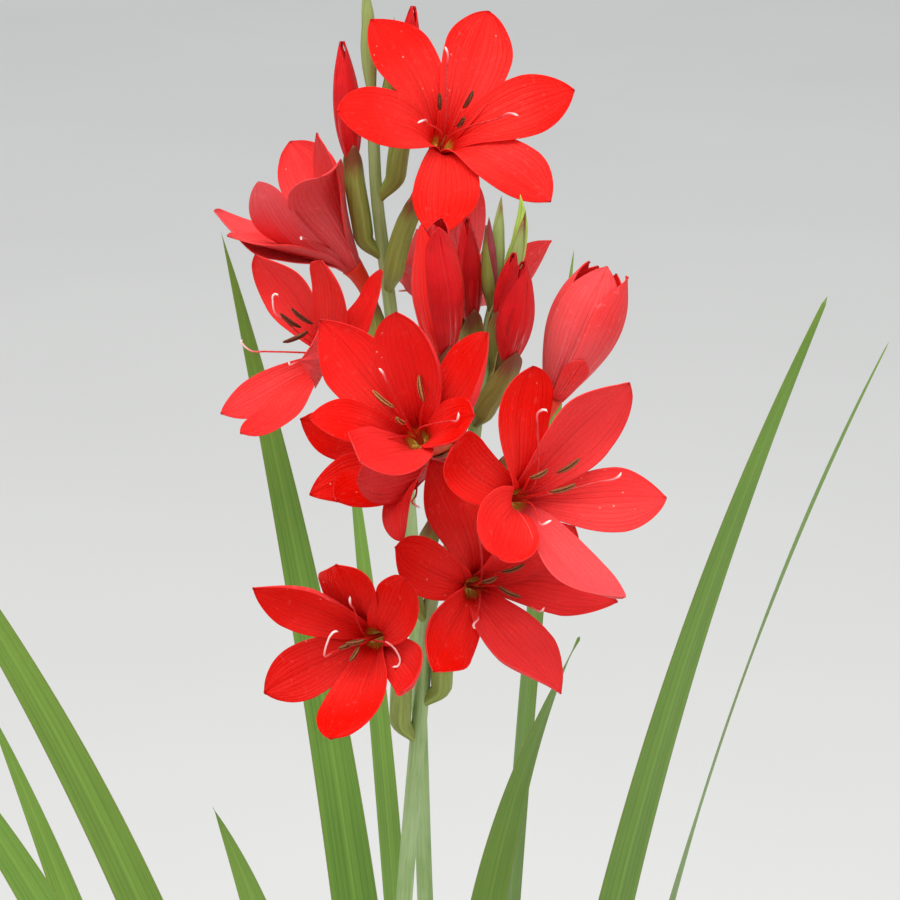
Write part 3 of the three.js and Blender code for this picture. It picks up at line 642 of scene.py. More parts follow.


# %% [markdown]
# ## The flowers
# Each flower is a star of six tepals on a thin tube. Its place and the way it faces were
# worked out from the picture, and so was the opening of each tepal: how far it has turned
# from the flower's axis halfway along, and at its tip. A row here is one tepal: degrees
# round the axis, the two opening angles, and its length and width where they differ. Its
# shape is how far it sways and leans aside in millimetres, its twist in degrees and how
# pointed it is, its rolls are the degrees by which its left and right rims are rolled in, and
# its tint is pinker above 0 and darker below. The tints are partly the tepals' own tone and
# partly painted light: painted shade on tepals that lie in shadow and a painted pink sheen on
# lit ones. A stamen has its degrees, its opening angle and how far its anther reaches, and
# pollen says how ochre it is; a style branch has its length and the curl of its tip, to the
# right and up.
# %% Flower measurements
TEPAL_LENGTH, TEPAL_WIDTH, TEPAL_FOOT = 33, 15, 2.2
FLOWERS = {
    "front_flower_1": dict(
        foot=(-4.8, -1.5, 505), throat=(-8.7, -22, 537.5), face=(-30, 10),
        tepals=[(-2, 48, 16, 30, 13), (53, 39, 39, 32, 13), (130, 32, 59, 28.5, 11.5),
                (206, 33, 13, 32, 15.5), (260, 55, -14, 31, 11), (319, 58, 51, 32, 11)],
        rolls={1: (0, 120)},
        shape={0: (0.5, -1.1, 16, 0.48), 1: (-1.4, 0.3, -10, 0.93), 2: (-0.2, -0.3, -2, 0.47),
               3: (1.5, -0.3, -12, 0.61), 4: (1.2, 0.7, -30, 1), 5: (-1.9, 0.3, 17, 0.4)},
        tints_and_painted_light=(-0.03, 0, -0.38, -0.12, 0, -0.1),
        stamens=[(318, 13, (-3.4, -1.7, -1.1)), (303, 21, (-3.8, -1.3, -0.2)),
                 (290, 14, (-1.8, -3, -2))], pollen=0.4,
        styles=[(108, 2, 19.5, (0.1, 0.9), (0.6, 2.7), (1.4, 4.5), (2.4, 5.3), (3, 5.1)),
                (288, 39, 15, (1, -0.8), (2.1, -2.5), (2.5, -3.8), (2, -5.2), (0.8, -5.3)),
                (347, 34, 20, (0, 1.3))]),
    "front_flower_2": dict(
        foot=(4.2, -1.5, 513), throat=(10.3, -14, 545.2), face=(28, 14),
        tepals=[(18, 89, 83, 33, 14), (60, 74, 41, 31.5, 11.5), (115, 54, 44, 32.5, 13.5),
                (197, 35, 65, 34, 15), (258, 29, 52, 35, 13), (319, 33, 30, 32.5, 15)],
        rolls={2: (0, 100), 3: (0, 90)},
        shape={0: (-0.5, -0.1, 4, 0.89), 1: (1.2, -0.6, 7, 0.66), 2: (-0.4, 1.1, 27, 0.79),
               3: (-2.6, -1.6, -30, 1), 4: (3, 0.5, -20, 1), 5: (0, 0, 0, 0.6)},
        tints_and_painted_light=(-0.4, -0.12, -0.08, 0.09, 0.09, 0.08), pollen=0.35,
        stamens=[(344, 20, (4.9, -0.9, 2.1)), (49, 21, (3.1, -1.6, 1.7)),
                 (4, 7, (4.7, -2.3, -1.5))],
        styles=[(14, 47, 21, (0.4, 0.6)), (112, 27, 20, (-0.5, -0.4), (-0.7, -1.4), (-0.2, -1.8)),
                (236, 21, 20, (0.5, 0.8))]),
    "front_flower_3": dict(
        foot=(-2.3, -1.5, 534), throat=(3.3, -2, 568.5), face=(-38, 12),
        tepals=[(67, 34, 36, 32.5, 13), (128, 19, 41, 31.5, 11), (166, 8, 5, 32, 14),
                (215, 22, 99, 31, 9.5), (283, 4, -8, 34, 13), (0, 50, 60)],
        shape={0: (-0.2, 0.2, -5, 0.67), 1: (-0.3, -0.7, 10, 0.76), 2: (0, 0, 0, 0.6),
               3: (1.5, 0.8, 7, 0.24), 4: (-0.2, -1.6, -8, 0.33)},
        tints_and_painted_light=(-0.18, -0.22, -0.1, 0.05, 0.05, -0.1)),
    "front_flower_4": dict(
        foot=(7, -0.5, 538), throat=(18.3, -34, 572), face=(46, 18),
        rise=(1, 0.1, 0.45),
        tepals=[(6, 66, 54, 32, 13.5), (48, 91, 23, 29, 11.5), (108, 60, 47, 29.5, 15),
                (171, 49, -4, 33.5, 16), (259, 45, 66, 31, 13), (316, 48, 54, 34, 17)],
        rolls={2: (110, 0)},
        shape={0: (3, 0.1, -19, 0.16), 1: (3, -0.4, -30, 0.5), 2: (-1.8, -2, 30, 0.5),
               3: (-1.8, 1.4, -12, 0.48), 4: (-1.1, -2.3, -29, 0.69), 5: (3, 1.8, 18, 0.61)},
        tints_and_painted_light=(-0.02, -0.04, 0.05, 0.24, 0.13, 0.12), pollen=0.4,
        stamens=[(42, 33, (3.5, -0.6, 2)), (338, 22, (4.4, -0.5, 3.2)), (52, 11, (5, -0.9, 2))],
        styles=[(14, 47, 24.9, (0.7, 0.3), (1.2, 0.2), (1.5, -0.3)),
                (272, 34, 21, (0.6, 0.5), (0.8, 1.2)), (108, 32, 19, (1.8, 1))]),
    "front_flower_5": dict(
        foot=(9.6, -4.2, 567), throat=(0, -28, 582), face=(-22, 40),
        tepals=[(-1, 28, 30, 32.5, 15), (53, 45, 45, 33, 13), (111, 27, 55, 28.5, 9.5),
                (174, 23, 33, 30, 16), (267, 39, 39, 31.5, 10.5), (308, 48, 39, 34, 14.5)],
        rolls={0: (0, 110), 5: (0, 150), 4: (0, 100)}, pollen=0.9,
        shape={0: (-1.7, 0.4, 1, 0.54), 1: (0.4, -0.9, 1, 0.97), 2: (0.4, 0.7, 8, 0.47),
               3: (1.8, 1.7, -30, 0.1), 4: (-0.5, -0.6, 9, 0.45), 5: (-3, 1.2, -8, 0.74)},
        tints_and_painted_light=(0, 0.04, 0.02, 0.06, -0.02, -0.08),
        stamens=[(42, 12, (-4.2, -0.4, 3.7)), (320, 26, (-1, 0.3, 5.4)),
                 (234, 7, (-1.6, -4.5, 2.7))],
        styles=[(28, 21, 21, (-0.3, 0.3)), (265, 36, 25.3, (0.1, 0.6), (0, 1.2)),
                (150, 25, 15, (0, 0.6))]),
    "half_open_flower": dict(
        foot=(10.4, 0.5, 549), throat=(27, 2, 581), face=(128, 60), stamens=[], styles=[]),
    "back_flower_1": dict(
        foot=(-1, 44, 562), throat=(9.4, 36, 591), face=(192, 10),
        tepals=[(75, 64, 48, 29.5, 11.5), (-5, 60, 55), (-53, 11, -5, 32, 15.5), (-125, 20, 15),
                (175, 80, 75), (115, 15, 15)],
        shape={0: (3.7, -0.5, 16, 1), 2: (-2.3, 0.5, 2, 0.68)},
        tints_and_painted_light=(0, -0.1, -0.12, -0.1, -0.1, -0.1)),
    "back_flower_2": dict(
        foot=(-8.2, 42.6, 546), throat=(-19, 30, 580.8), face=(-44, 22),
        tepals=[(40, 55, 40, 29.5, 14.5), (-32, 52, 30, 32.5, 13), (-49, 77, 45, 32, 9.5),
                (-89, 40, -12, 33, 14), (-174, 48, 13, 32.5, 10), (149, 58, 30, 29, 11)],
        shape={0: (-1.8, -1.5, -30, 0.5), 1: (-2.3, 1.3, 21, 0.2), 2: (-3, 3, -14, 0.2),
               3: (1.1, -1.7, 15, 0.6), 4: (1.6, 0, -17, 0.46), 5: (1, -0.4, 11, 0.6)},
        tints_and_painted_light=(0.06, 0, 0, 0.1, 0.08, 0.14),
        stamens=[(344, 29, (-4.6, -0.5, 3.8)), (10, 21, (-4.4, -0.5, 3.4)),
                 (338, 21, (-5.5, -2.6, -1.7))], pollen=0.1,
        styles=[(31, 22, 19, (-0.4, 2.6), (-0.3, 3.9), (0.5, 4.2), (0.9, 3.5)),
                (115, 22, 20, (-1.6, 1.3), (-2.1, 2.3), (-1.6, 2.5)), (200, 15, 15, (0, 0.6))]),
    "back_flower_3": dict(
        foot=(-9.5, 46, 568), throat=(-16, 46, 597), face=(-61, 49),
        tepals=[(182, 28, 25), (-144, 7, -20, 35, 11), (-77, 11, 74, 35, 16), (0, 25, 20),
                (60, 50, 50), (146, 34, -3, 34, 14)],
        shape={1: (-3, 0.8, 14, 0.29), 2: (2.9, 3, -30, 0.1), 5: (3, -1.9, 14, 0.32)},
        tints_and_painted_light=(0.14, 0.3, 0.2, 0.1, 0.1, 0.24)),
    "back_flower_4": dict(
        foot=(-6.5, 41, 594), throat=(3.9, 34, 626), face=(20, 48),
        tepals=[(30, 60, 75), (90, 60, 75), (163, 80, 73, 33, 14), (210, 70, 85), (270, 60, 75),
                (330, 60, 75)],
        shape={2: (0.3, -1.1, 28, 0.54)},
        tints_and_painted_light=(0, 0, -0.1, 0, 0, 0)),
}
USUAL_STAMENS = [(60, 14), (180, 14), (300, 14)]
USUAL_STYLES = [(0, 30, 22), (120, 30, 22), (240, 30, 22)]


def face_axes(right, above):
    """The axis of a flower and the two directions across it, up and left as it is seen."""
    right, above = math.radians(right), math.radians(above)
    axis = np.array([math.sin(right) * math.cos(above), -math.cos(right) * math.cos(above),
                     math.sin(above)])
    up = unit(np.array([0, 0, 1.0]) - axis * axis[2])
    return axis, up, np.cross(axis, up)


def across_axis(axes, degrees):
    angle = math.radians(degrees)
    return math.cos(angle) * axes[1] + math.sin(angle) * axes[2]


def tube_line(foot, throat, axis, rise=(0, 0, 1)):
    foot, throat, rise = (np.array(each, float) for each in (foot, throat, rise))
    reach = np.linalg.norm(throat - foot) * 0.33
    return Line(bezier(foot, foot + rise * reach, throat - axis * reach, throat))


print("flowers:", len(FLOWERS), "with", 6 * len(FLOWERS), "tepals")

# %% [markdown]
# ## One tepal
# A tepal has a narrow channelled foot, is widest two thirds of the way out, and ends in a
# blunt point. It is cupped along its length, its rims ripple, and no two are the same. A
# grid is laid along its bent centre line, and Solidify gives it 0.22 mm of tissue: the back
# and the rim take their own finishes from Solidify's material offsets.
# %% Tepal
# Share of the length where a tepal is widest, and of its half width where a rim starts to roll.
WIDEST, ROLLED_FROM = 0.66, 0.78
# Thickness, degrees that a tepal opens at its foot, and the share of it that lies in the tube.
TISSUE, FOOT_OPENING, FOOT_SHARE = 0.22, 15, 0.07
outline = eased((0.0, 0.26), (0.12, 0.38), (0.3, 0.63), (0.45, 0.86), (0.58, 0.98), (WIDEST, 1.0))
cup = eased((0.0, 0.5), (0.2, 0.55), (0.4, 0.36), (0.6, 0.22), (0.85, 0.12), (1.0, 0.05))


def half_width(s, point):
    """Share of the half width: the outline to its widest place, then a tip, blunt at 0."""
    s = np.clip(s, 0, 1)
    out = np.clip((s - WIDEST) / (1 - WIDEST), 0, 1)
    return np.where(s < WIDEST, outline(s), (1 - out ** (2.6 - point)) ** (0.6 + 0.35 * point))


def margin(t, wide, roll):
    """How far out and how high a point lies where the outer part of a tepal is rolled in."""
    rolled = 1 - ROLLED_FROM
    inner, arc = np.minimum(np.abs(t), ROLLED_FROM), rolled * wide
    share, roll = np.clip((np.abs(t) - ROLLED_FROM) / rolled, 0, 1), np.maximum(roll, 0.01)
    out = inner * wide + arc * np.sin(roll * share) / roll
    return np.sign(t) * out, arc * (1 - np.cos(roll * share)) / roll


def tepal_shape(flower, index, chance):
    """Where each point of one tepal's sheet lies. Numbers that are listed come first, and
    chance gives the others."""
    place, half, tip, *size = flower["tepals"][index]
    length, width = size + [TEPAL_LENGTH, TEPAL_WIDTH][len(size):]
    usual = (chance.uniform(-1.5, 1.5), chance.uniform(-1, 1), chance.uniform(-9, 9),
             chance.uniform(0.3, 0.9))
    curl = chance.uniform(-0.6, 0.6)
    sway, skew, turn, point = flower.get("shape", {}).get(index, usual)
    ripple, waves, phase = (chance.uniform(0.15, 0.45, 2), chance.uniform(1.0, 2.4, 2),
                            chance.uniform(0, 6.28, 2))
    rolls = np.radians(flower.get("rolls", {}).get(index, chance.uniform(0, 15, 2)))
    axis, up, left = face_axes(*flower["face"])
    out = across_axis((axis, up, left), place)
    side = np.cross(axis, out)
    steps = 80
    s_step = (np.arange(steps) + 0.5) / steps
    opening = np.radians(FOOT_OPENING * (1 - s_step) * (1 - 2 * s_step) + 4 * half * s_step
                         * (1 - s_step) + tip * s_step * (2 * s_step - 1))
    turned = (np.cos(opening)[:, None] * axis + np.sin(opening)[:, None] * out) / steps
    centres = np.array(flower["throat"]) + out * TEPAL_FOOT + np.concatenate(
        [[np.zeros(3)], np.cumsum(turned, axis=0)]) * (length - TEPAL_FOOT)
    centres = np.vstack([centres[0] - axis * 2 - out * 1.5, centres])
    stations = np.concatenate([[-FOOT_SHARE], np.linspace(0, 1, steps + 1)])
    angles = np.concatenate([opening[:1], opening[:1], (opening[1:] + opening[:-1]) / 2,
                             opening[-1:]])
    raise_foot = (index % 2) * 0.35

    def lay(u, v):
        s = (1 + FOOT_SHARE) * (1 - (1 - v) ** 1.35) - FOOT_SHARE
        on, t = np.clip(s, 0, 1), 1 - 2 * u
        t = t * (1.25 - 0.25 * t * t)
        centre = np.stack([np.interp(s, stations, centres[:, k]) for k in range(3)], axis=1)
        angle = np.interp(s, stations, angles)
        inner = np.sin(angle)[:, None] * axis - np.cos(angle)[:, None] * out
        twist = np.radians(turn) * on[:, None] ** 2
        flat = np.cos(twist) * side + np.sin(twist) * inner
        high = np.cos(twist) * inner - np.sin(twist) * side
        wide = half_width(s, point) * width / 2
        which = (t < 0).astype(int)
        wave = np.sin(waves[which] * s * math.tau + phase[which]) * ripple[which]
        rim = np.clip(np.abs(t) - 0.4, 0, 1) ** 1.5 * np.clip(on * 2 - 0.3, 0, 1)
        rolled = rolls[which] * np.clip(on * 3 - 0.7, 0, 1) * np.clip(3.2 - on * 2.8, 0, 1)
        across, lifted = margin(t, wide * (1 - 0.12 * cup(s)), rolled)
        raised = (cup(s) * wide * t ** 2 + (wave * 2.4 + curl * on ** 3 * 2) * rim
                  * np.clip(wide / 3, 0, 1) + lifted)
        raised = (raised - 0.3 * np.exp(-(t / 0.1) ** 2) * np.clip(on * 4, 0, 1)
                  + 0.07 * np.cos(t * 19) * np.clip(1 - np.abs(t), 0, 1) + raise_foot * (1 - on))
        bend = sway * np.sin(on * math.pi) + skew * on ** 2
        return centre + flat * (across + bend)[:, None] + high * raised[:, None]

    return lay


def tepal(name, flower, index, chance):
    lay = tepal_shape(flower, index, chance)
    made = sheet(name, 30, 48, lay, tepal_face, tepal_back, tepal_rim)
    # Each tepal's tint: partly its own tone, partly painted shade where it lies in shadow and
    # painted sheen where it is lit.
    shade = flower["tints_and_painted_light"][index] + chance.uniform(-0.03, 0.03)
    return finish_mesh(made, shade, thickness=TISSUE)


print("shares of a tepal's half width:", half_width(np.array([0, 0.3, WIDEST, 0.9]), 0.5).round(2))

# %% [markdown]
# ## Tepals that still wrap
# In a bud, and in the flower that is only half open, each tepal is wrapped round the axis
# and covers the next with one rim. Spheres or spindles could be painted with seams, but real
# overlaps catch the light. So each tepal here is a strip laid round the line at a radius
# that swells and narrows, and its own width narrows to a blunt point.
# %% A wrapped tepal
WRAP = 0.3  # thickness of wrapped tepals and of bracts


def wrapped(name, line, swell, middle, half, lift, shade, materials, chance, reach=1.0, turn=0,
            shoulder=0.62):
    """A strip round a line: the degrees of its middle and of half its width, its lift at the
    left and right, its shade, how far it reaches and turns, and where it starts to narrow."""
    wave, phase = chance.uniform(0.05, 0.22, 2), chance.uniform(0, 6.28, 2)

    def lay(u, v):
        along = v * reach
        out = np.clip((v - shoulder) / (1 - shoulder), 0, 1)
        spread = np.radians(half) * (1 - out ** 2.1) ** 0.75 + 0.01
        angle = math.radians(middle) + (u - 0.5) * 2 * spread + np.radians(turn) * v
        side = np.abs(2 * u - 1)
        which = (u > 0.5).astype(int)
        open_rim = np.clip(side - 0.5, 0, 1) * 2 * np.sin(np.clip(v, 0, 1) * math.pi * 0.9)
        radius = (swell(along) + lift[0] + (lift[1] - lift[0]) * u
                  + np.sin(v * 9 + phase[which]) * wave[which] * open_rim
                  - 0.22 * np.exp(-((u - 0.5) / 0.05) ** 2) * np.clip(v * 4, 0, 1)
                  + 0.05 * np.cos(u * 44) * np.clip(1.1 - side, 0, 1))
        return line.around(along, angle, radius)

    made = sheet(name, 30, 44, lay, *materials)
    return finish_mesh(made, shade, thickness=-WRAP)


# %% [markdown]
# ## Tube, stamens and style branches
# Below the star the tepals are joined to a tube, which widens to the throat, where a shallow
# yellow bowl closes it. Three stamens stand in it, each a thread with a long anther that turns
# aside, and the style splits in three branches that open wider and curl at their white tips.
# The threads could be curves, but as sheets they take their colour from the way along them.
# An anther is a sphere stretched and grooved once, and each stamen gets a copy of it.
# %% Tube, stamens and styles
tube_width = rounded((0, 0.0), (0.02, 0.6), (0.15, 1.1), (0.5, 1.2), (0.8, 1.4), (0.94, 1.9),
                     (1.0, 2.3))
THREAD_LENGTH, ANTHER_LENGTH, TUBE_WALL = 12.5, 5.4, 0.25


def anther_blank():
    """One anther modelled once: a stretched sphere with grooves, its foot at the origin."""
    clear_selection()
    bpy.ops.mesh.primitive_uv_sphere_add(segments=16, ring_count=14, radius=0.5 * MM)
    made = bpy.context.object
    points = points_of(made) / MM
    angle = np.arctan2(points[:, 1], points[:, 0])
    groove = 1 - 0.28 * np.cos(2 * angle) ** 6
    height = np.sign(points[:, 2]) * (np.abs(points[:, 2]) * 2) ** 0.8
    lumps = 1 + 0.08 * np.sin(height * 23 + angle * 3)
    lay_points(made, np.stack([points[:, 0] * groove * lumps * 1.1 + 0.35 * height ** 2 - 0.35,
                               points[:, 1] * groove * lumps,
                               (height + 1) * ANTHER_LENGTH / 2], 1))
    made.data.materials.append(anther_maroon)
    return finish_mesh(made)


anther_model = anther_blank()
anther_model.name = "anther_model"
print("anther:", len(anther_model.data.polygons), "faces")


def anther(at, reach, across, pollen):
    """A copy of the anther, with its own mesh, from a thread's end to where it reaches."""
    made = anther_model.copy()
    made.data = anther_model.data.copy()
    bpy.context.collection.objects.link(made)
    keep_shade(made, pollen)
    reach, across = Vector(reach), Vector(across)
    ahead = reach.normalized()
    across = (across - ahead * across.dot(ahead)).normalized()
    turn = Matrix((across, ahead.cross(across), ahead)).transposed().to_4x4()
    longer = Matrix.Diagonal((1, 1, reach.length / ANTHER_LENGTH, 1))
    made.data.transform(Matrix.Translation(Vector(at) * MM) @ turn @ longer)
    return made


def stamen(name, axes, throat, row, pollen):
    degrees, opening, *reach = row
    out = across_axis(axes, degrees)
    angle = math.radians(opening)
    ahead = unit(axes[0] * math.cos(angle) + out * math.sin(angle))
    end = throat + ahead * THREAD_LENGTH
    thread = bezier(throat - axes[0] * 3 + out * 0.4, throat + axes[0] * 4 + out * 0.5,
                    end - ahead * 4, end, 30)
    made = rod(name, thread, rounded((0, 0.26), (0.8, 0.2), (0.97, 0.16), (1, 0.0)), 8, 16,
               filament_red)
    reach = np.array(reach[0]) if reach else ahead * ANTHER_LENGTH
    return [made, anther(end, reach, axes[1], pollen)]


def style(name, axes, throat, row, chance):
    degrees, opening, length, *curl = row
    out = across_axis(axes, degrees)

    def reach(share, turn):
        angle = math.radians(turn)
        return throat + (axes[0] * math.cos(angle) + out * math.sin(angle)) * length * share

    tip = reach(1.0, opening)
    usual = unit(out * 0.6 + axes[0] * chance.uniform(-0.2, 0.9)
                 + axes[1] * chance.uniform(-0.3, 0.6))
    curled = [tip + np.array((right, 0, up)) for right, up in curl] or [
        tip + usual * 0.5, tip + usual * 1.9 - axes[0] * 0.2]
    line = Line(smooth_through([throat - axes[0] * 3 + out * 0.2, reach(0.3, opening * 0.45),
                                reach(0.6, opening * 0.8), reach(0.84, opening * 0.97), tip,
                                *curled], 70))
    made = rod(name, line, rounded((0, 0.26), (0.6, 0.2), (0.9, 0.2), (0.96, 0.26),
                                   (0.985, 0.22), (1, 0.0)), 8, 48, style_red)
    bend = line.share[np.linalg.norm(line.points - tip, axis=1).argmin()]
    pale = min(bend, 1 - 1.8 / line.length)
    return remap(made, 1, lambda v: np.interp(v, [0, pale, 1], [0, 0.9, 1]))


def flower_tube(name, line):
    """The tube up to the throat, its upper end left open under the tepals."""
    made = sheet(name, 18, 30, lambda u, v: line.around(
        v, -u * math.tau, tube_width(v) * (1 + 0.05 * np.cos(u * math.tau * 6) * v)),
        tube_orange, tube_orange, tube_orange)
    return finish_mesh(made, thickness=TUBE_WALL, weld=True)


def throat_bowl(name, axes, throat):
    """The bowl that closes the tube between the feet of the tepals."""
    line = Line(np.linspace(throat - axes[0] * 2.6, throat + axes[0] * 0.4, 20), across=axes[1])
    ahead = rounded((0, 0.5), (0.3, 0.6), (0.55, 1.0), (0.62, 0.9), (1, 0.0))
    out = rounded((0, 0.0), (0.3, 1.2), (0.55, 2.2), (0.62, 2.2), (1, 0.0))
    made = sheet(name, 24, 14, lambda u, v: line.around(ahead(v), -u * math.tau, out(v)),
                 throat_yellow)
    return finish_mesh(made, weld=True)


# %% Ten flowers
# Of each tepal: the degrees of its middle and of half its width, its lift at left and right,
# and its shade.
HALF_OPEN = [(47, 58, (0.0, 0.2), 0.12), (122, 68, (0.75, 0.15), 0.03),
             (-62, 66, (-0.3, -0.3), 0.05), (190, 62, (-0.4, -0.1), 0.03),
             (255, 66, (-0.7, -0.5), 0.03)]
half_open_swell = eased((0, 1.6), (0.12, 3.4), (0.3, 5.6), (0.5, 7.2), (0.65, 7.4), (0.8, 6.6),
                        (0.92, 5.2), (1, 4.2))


def half_open_tepals(name, flower, axes, chance):
    """Five tepals still wrapped round the axis, and the sixth small in front of them."""
    throat, finishes = np.array(flower["throat"], float), (tepal_back, tepal_face, tepal_rim)
    line = Line(np.linspace(throat, throat + axes[0] * 29, 40), across=axes[1])
    made = [wrapped(f"{name}_tepal_{i}", line, half_open_swell, *row, finishes, chance)
            for i, row in enumerate(HALF_OPEN)]
    made.append(wrapped(f"{name}_tepal_5", line, half_open_swell, 72, 27, (1.3, 1.5), 0.1,
                        finishes[::-1], chance, reach=0.32))
    return made


for order, (name, flower) in enumerate(FLOWERS.items()):
    chance = np.random.default_rng(40 + order)
    axes = face_axes(*flower["face"])
    throat = np.array(flower["throat"], float)
    flower["line"] = rooted(tube_line(flower["foot"], throat, axes[0],
                                      flower.get("rise", (0, 0, 1))))
    if name == "half_open_flower":
        parts = half_open_tepals(name, flower, axes, chance)
    else:
        parts = [tepal(f"{name}_tepal_{i}", flower, i, chance) for i in range(6)]
        parts.append(throat_bowl(f"{name}_throat", axes, throat))
    parts.append(flower_tube(f"{name}_tube", flower["line"]))
    star = join(f"{name}_star", parts)
    place_on_plant(star, name)
    threads = []
    for i, row in enumerate(flower.get("stamens", USUAL_STAMENS)):
        threads += stamen(f"{name}_stamen_{i}", axes, throat, row, flower.get("pollen", 0.15))
    for i, row in enumerate(flower.get("styles", USUAL_STYLES)):
        threads.append(style(f"{name}_style_{i}", axes, throat, row, chance))
    if threads:
        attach(join(f"{name}_threads", threads), "root")
    print(name, "has", len(star.data.polygons), "faces")

bpy.data.objects.remove(anther_model)

# %% [markdown]
# ## Buds
# A bud is six tepals rolled round each other. Only the three outer ones show, so these are
# wrapped as above round a spindle that closes the bud within, and their seams wind up to the
# tip. The largest bud is about to open, so its tips already stand apart. A row has the places
# where the bud leaves its stem, where it begins and where it ends, its radius, its profile
# and by how many degrees it winds. Then come its three tepals, as in the half open flower.
# %% Bud measurements
POINTED = eased((0, 0.26), (0.12, 0.62), (0.28, 0.92), (0.45, 1.0), (0.68, 0.80), (0.86, 0.44),
                (0.96, 0.18), (1.0, 0.06))
BLUNT = eased((0, 0.22), (0.15, 0.6), (0.24, 0.8), (0.35, 0.92), (0.47, 1.0), (0.6, 0.97),
              (0.72, 0.86), (0.86, 0.68), (1.0, 0.46))
SHOULDERS = {POINTED: 0.62, BLUNT: 0.84}
core_end = rounded((0, 1), (0.9, 0.9), (0.96, 0.45), (0.985, 0))
neck_width = rounded((0, 0), (0.03, 0.5), (0.2, 0.9), (0.6, 0.95), (1, 1.1))
BUDS = {
    "front_bud_1": ((6.3, -1.5, 571), (4.6, -8, 593), (2.6, -14, 622.5), 4.9, BLUNT, -18,
                    [(40, 50, (0.4, 0.1), 0.0), (-50, 68, (0.0, 0.0), 1.0),
                     (148, 74, (0.1, 0.0), -0.3)]),
    "front_bud_2": ((12.6, -4.2, 577), (17.7, -10, 592.5), (20.6, -14, 614.5), 3.3, POINTED, 20,
                    [(18, 84, (0.3, 0.1), -0.15), (138, 80, (0.0, 0.0), -0.35),
                     (258, 80, (0.1, 0.2), -0.4)]),
    "front_bud_3": ((8.3, 0, 583), (10.3, -0.5, 598), (9.2, -4, 620.8), 2.3, POINTED, 24,
                    [(45, 84, (0.3, 0.1), -0.4), (165, 80, (0.0, 0.0), -0.4),
                     (285, 80, (0.1, 0.2), -0.1)]),
    "front_bud_4": ((16.8, 0.4, 585), (15.9, -6, 601), (18.9, -7, 614.3), 1.7, POINTED, 24,
                    [(10, 84, (0.2, 0.1), -0.3), (130, 80, (0.0, 0.0), -0.3),
                     (250, 80, (0.1, 0.2), -0.2)]),
    "back_bud_1": ((-12.9, 44.6, 600), (-15.5, 47, 620), (-17.5, 50, 646), 2.6, POINTED, 20,
                   [(60, 84, (0.3, 0.1), -0.1), (180, 80, (0.0, 0.0), -0.1),
                    (300, 80, (0.1, 0.2), 0.0)]),
    "back_bud_2": ((-6, 44.6, 614), (-4, 43, 632), (-2, 42, 655), 2.3, POINTED, 20,
                   [(90, 84, (0.3, 0.1), -0.1), (210, 80, (0.0, 0.0), -0.1),
                    (330, 80, (0.1, 0.2), 0.0)]),
}
print("bud lengths:", [round(math.dist(row[1], row[2]), 1) for row in BUDS.values()], "mm")

# %% Six buds
necks, skirts = {}, {}
for order, (name, row) in enumerate(BUDS.items()):
    foot, start, tip = (np.array(each, float) for each in row[:3])
    radius, profile, turn, wraps = row[3:]
    chance = np.random.default_rng(200 + order)
    spindle = Line(bezier(start, start + (tip - start) * 0.3, tip - (tip - start) * 0.3, tip))
    parts = [wrapped(f"{name}_wrap_{i}", spindle, lambda v: profile(v) * radius, *wrap,
                     (bud_crimson,) * 3, chance, turn=turn, shoulder=SHOULDERS[profile])
             for i, wrap in enumerate(wraps)]
    parts.append(rod(f"{name}_core", spindle,
                     lambda v: profile(v) * radius * 0.9 * core_end(v), 20, 30, bud_crimson, -0.4))
    neck = rooted(tube_line(foot, start, unit(tip - start)))
    parts.append(rod(f"{name}_neck", neck, neck_width, 12, 16, tube_orange))
    necks[name] = neck
    skirts[name] = max(0.0, float(profile(4 / spindle.length)) * radius + 0.3 - 1.55)
    place_on_plant(join(f"{name}_skin", parts), name)
print("buds:", len(BUDS))

# %% [markdown]
# ## Bracts
# A pair of bracts, the spathe, wraps the foot of each flower and bud: an outer one and an
# inner one on the other side, each a pointed sheath with its rims drawn round the tube. A
# cone could be cut to a point, but its rims would not overlap. So a strip is laid round the
# tube's own line, and the degrees that it reaches to each side shrink to nothing at its tip.
# %% Bracts
bract_reach = eased((0, 178), (0.35, 150), (0.6, 112), (0.8, 70), (0.93, 32), (1.0, 3))


def bract(name, line, length, inside, turn, material, shade, skirt, grow):
    """A pointed sheath round a line. inside is the radius within it, turn where it stands,
    skirt how far it widens toward its mouth and grow how far it swells halfway."""
    def lay(u, v):
        share = np.clip(v * length / line.length, 0, None)
        angle = math.radians(turn) + (0.5 - u) * 2 * np.radians(bract_reach(v))
        swell = (inside + 0.3 + grow * np.sin(np.clip(v, 0, 1) ** 0.8 * math.pi) ** 1.2
                 + 0.25 * (1 - np.abs(2 * u - 1)) * np.clip(v * 3, 0, 1) * np.clip(2 - 2 * v, 0, 1))
        swell = ((swell + 0.4 * v ** 3 + skirt * np.clip(v, 0, 1) ** 3)
                 * np.interp(v * length, [0, 2, 8], [0.35, 0.55, 1]))
        beyond = np.clip(share - 1, 0, None)[:, None] * line.length * line.ahead[-1]
        return line.around(np.clip(share, 0, 1), angle, swell) + beyond

    made = sheet(name, 18, 28, lay, material, material, material)
    return finish_mesh(made, shade, thickness=-WRAP)


def spathe(node, line, length, inside, turn, materials, shade=0.0, skirt=0.0):
    outer = bract(f"{node}_outer", line, length + 4, inside + 0.2, turn, materials[0], shade,
                  skirt, 0.4)
    inner = bract(f"{node}_inner", line, length + 3.2, inside, turn + 180, materials[1], shade,
                  skirt, 0.35)
    place_on_plant(join(f"{node}_bracts", [outer, inner]), node)


for name, flower in FLOWERS.items():
    spathe(f"{name}_spathe", flower["line"], 24, 1.35, 0, (bract_green, bract_green))
PURPLER = {"front_bud_2": 0.3, "front_bud_3": 0.2}
for name, neck in necks.items():
    spathe(f"{name}_spathe", neck, neck.length, 1.25, 20, (bract_green, pale_bract),
           PURPLER.get(name, 0.0), skirts[name])
print("spathes:", len(FLOWERS) + len(necks))

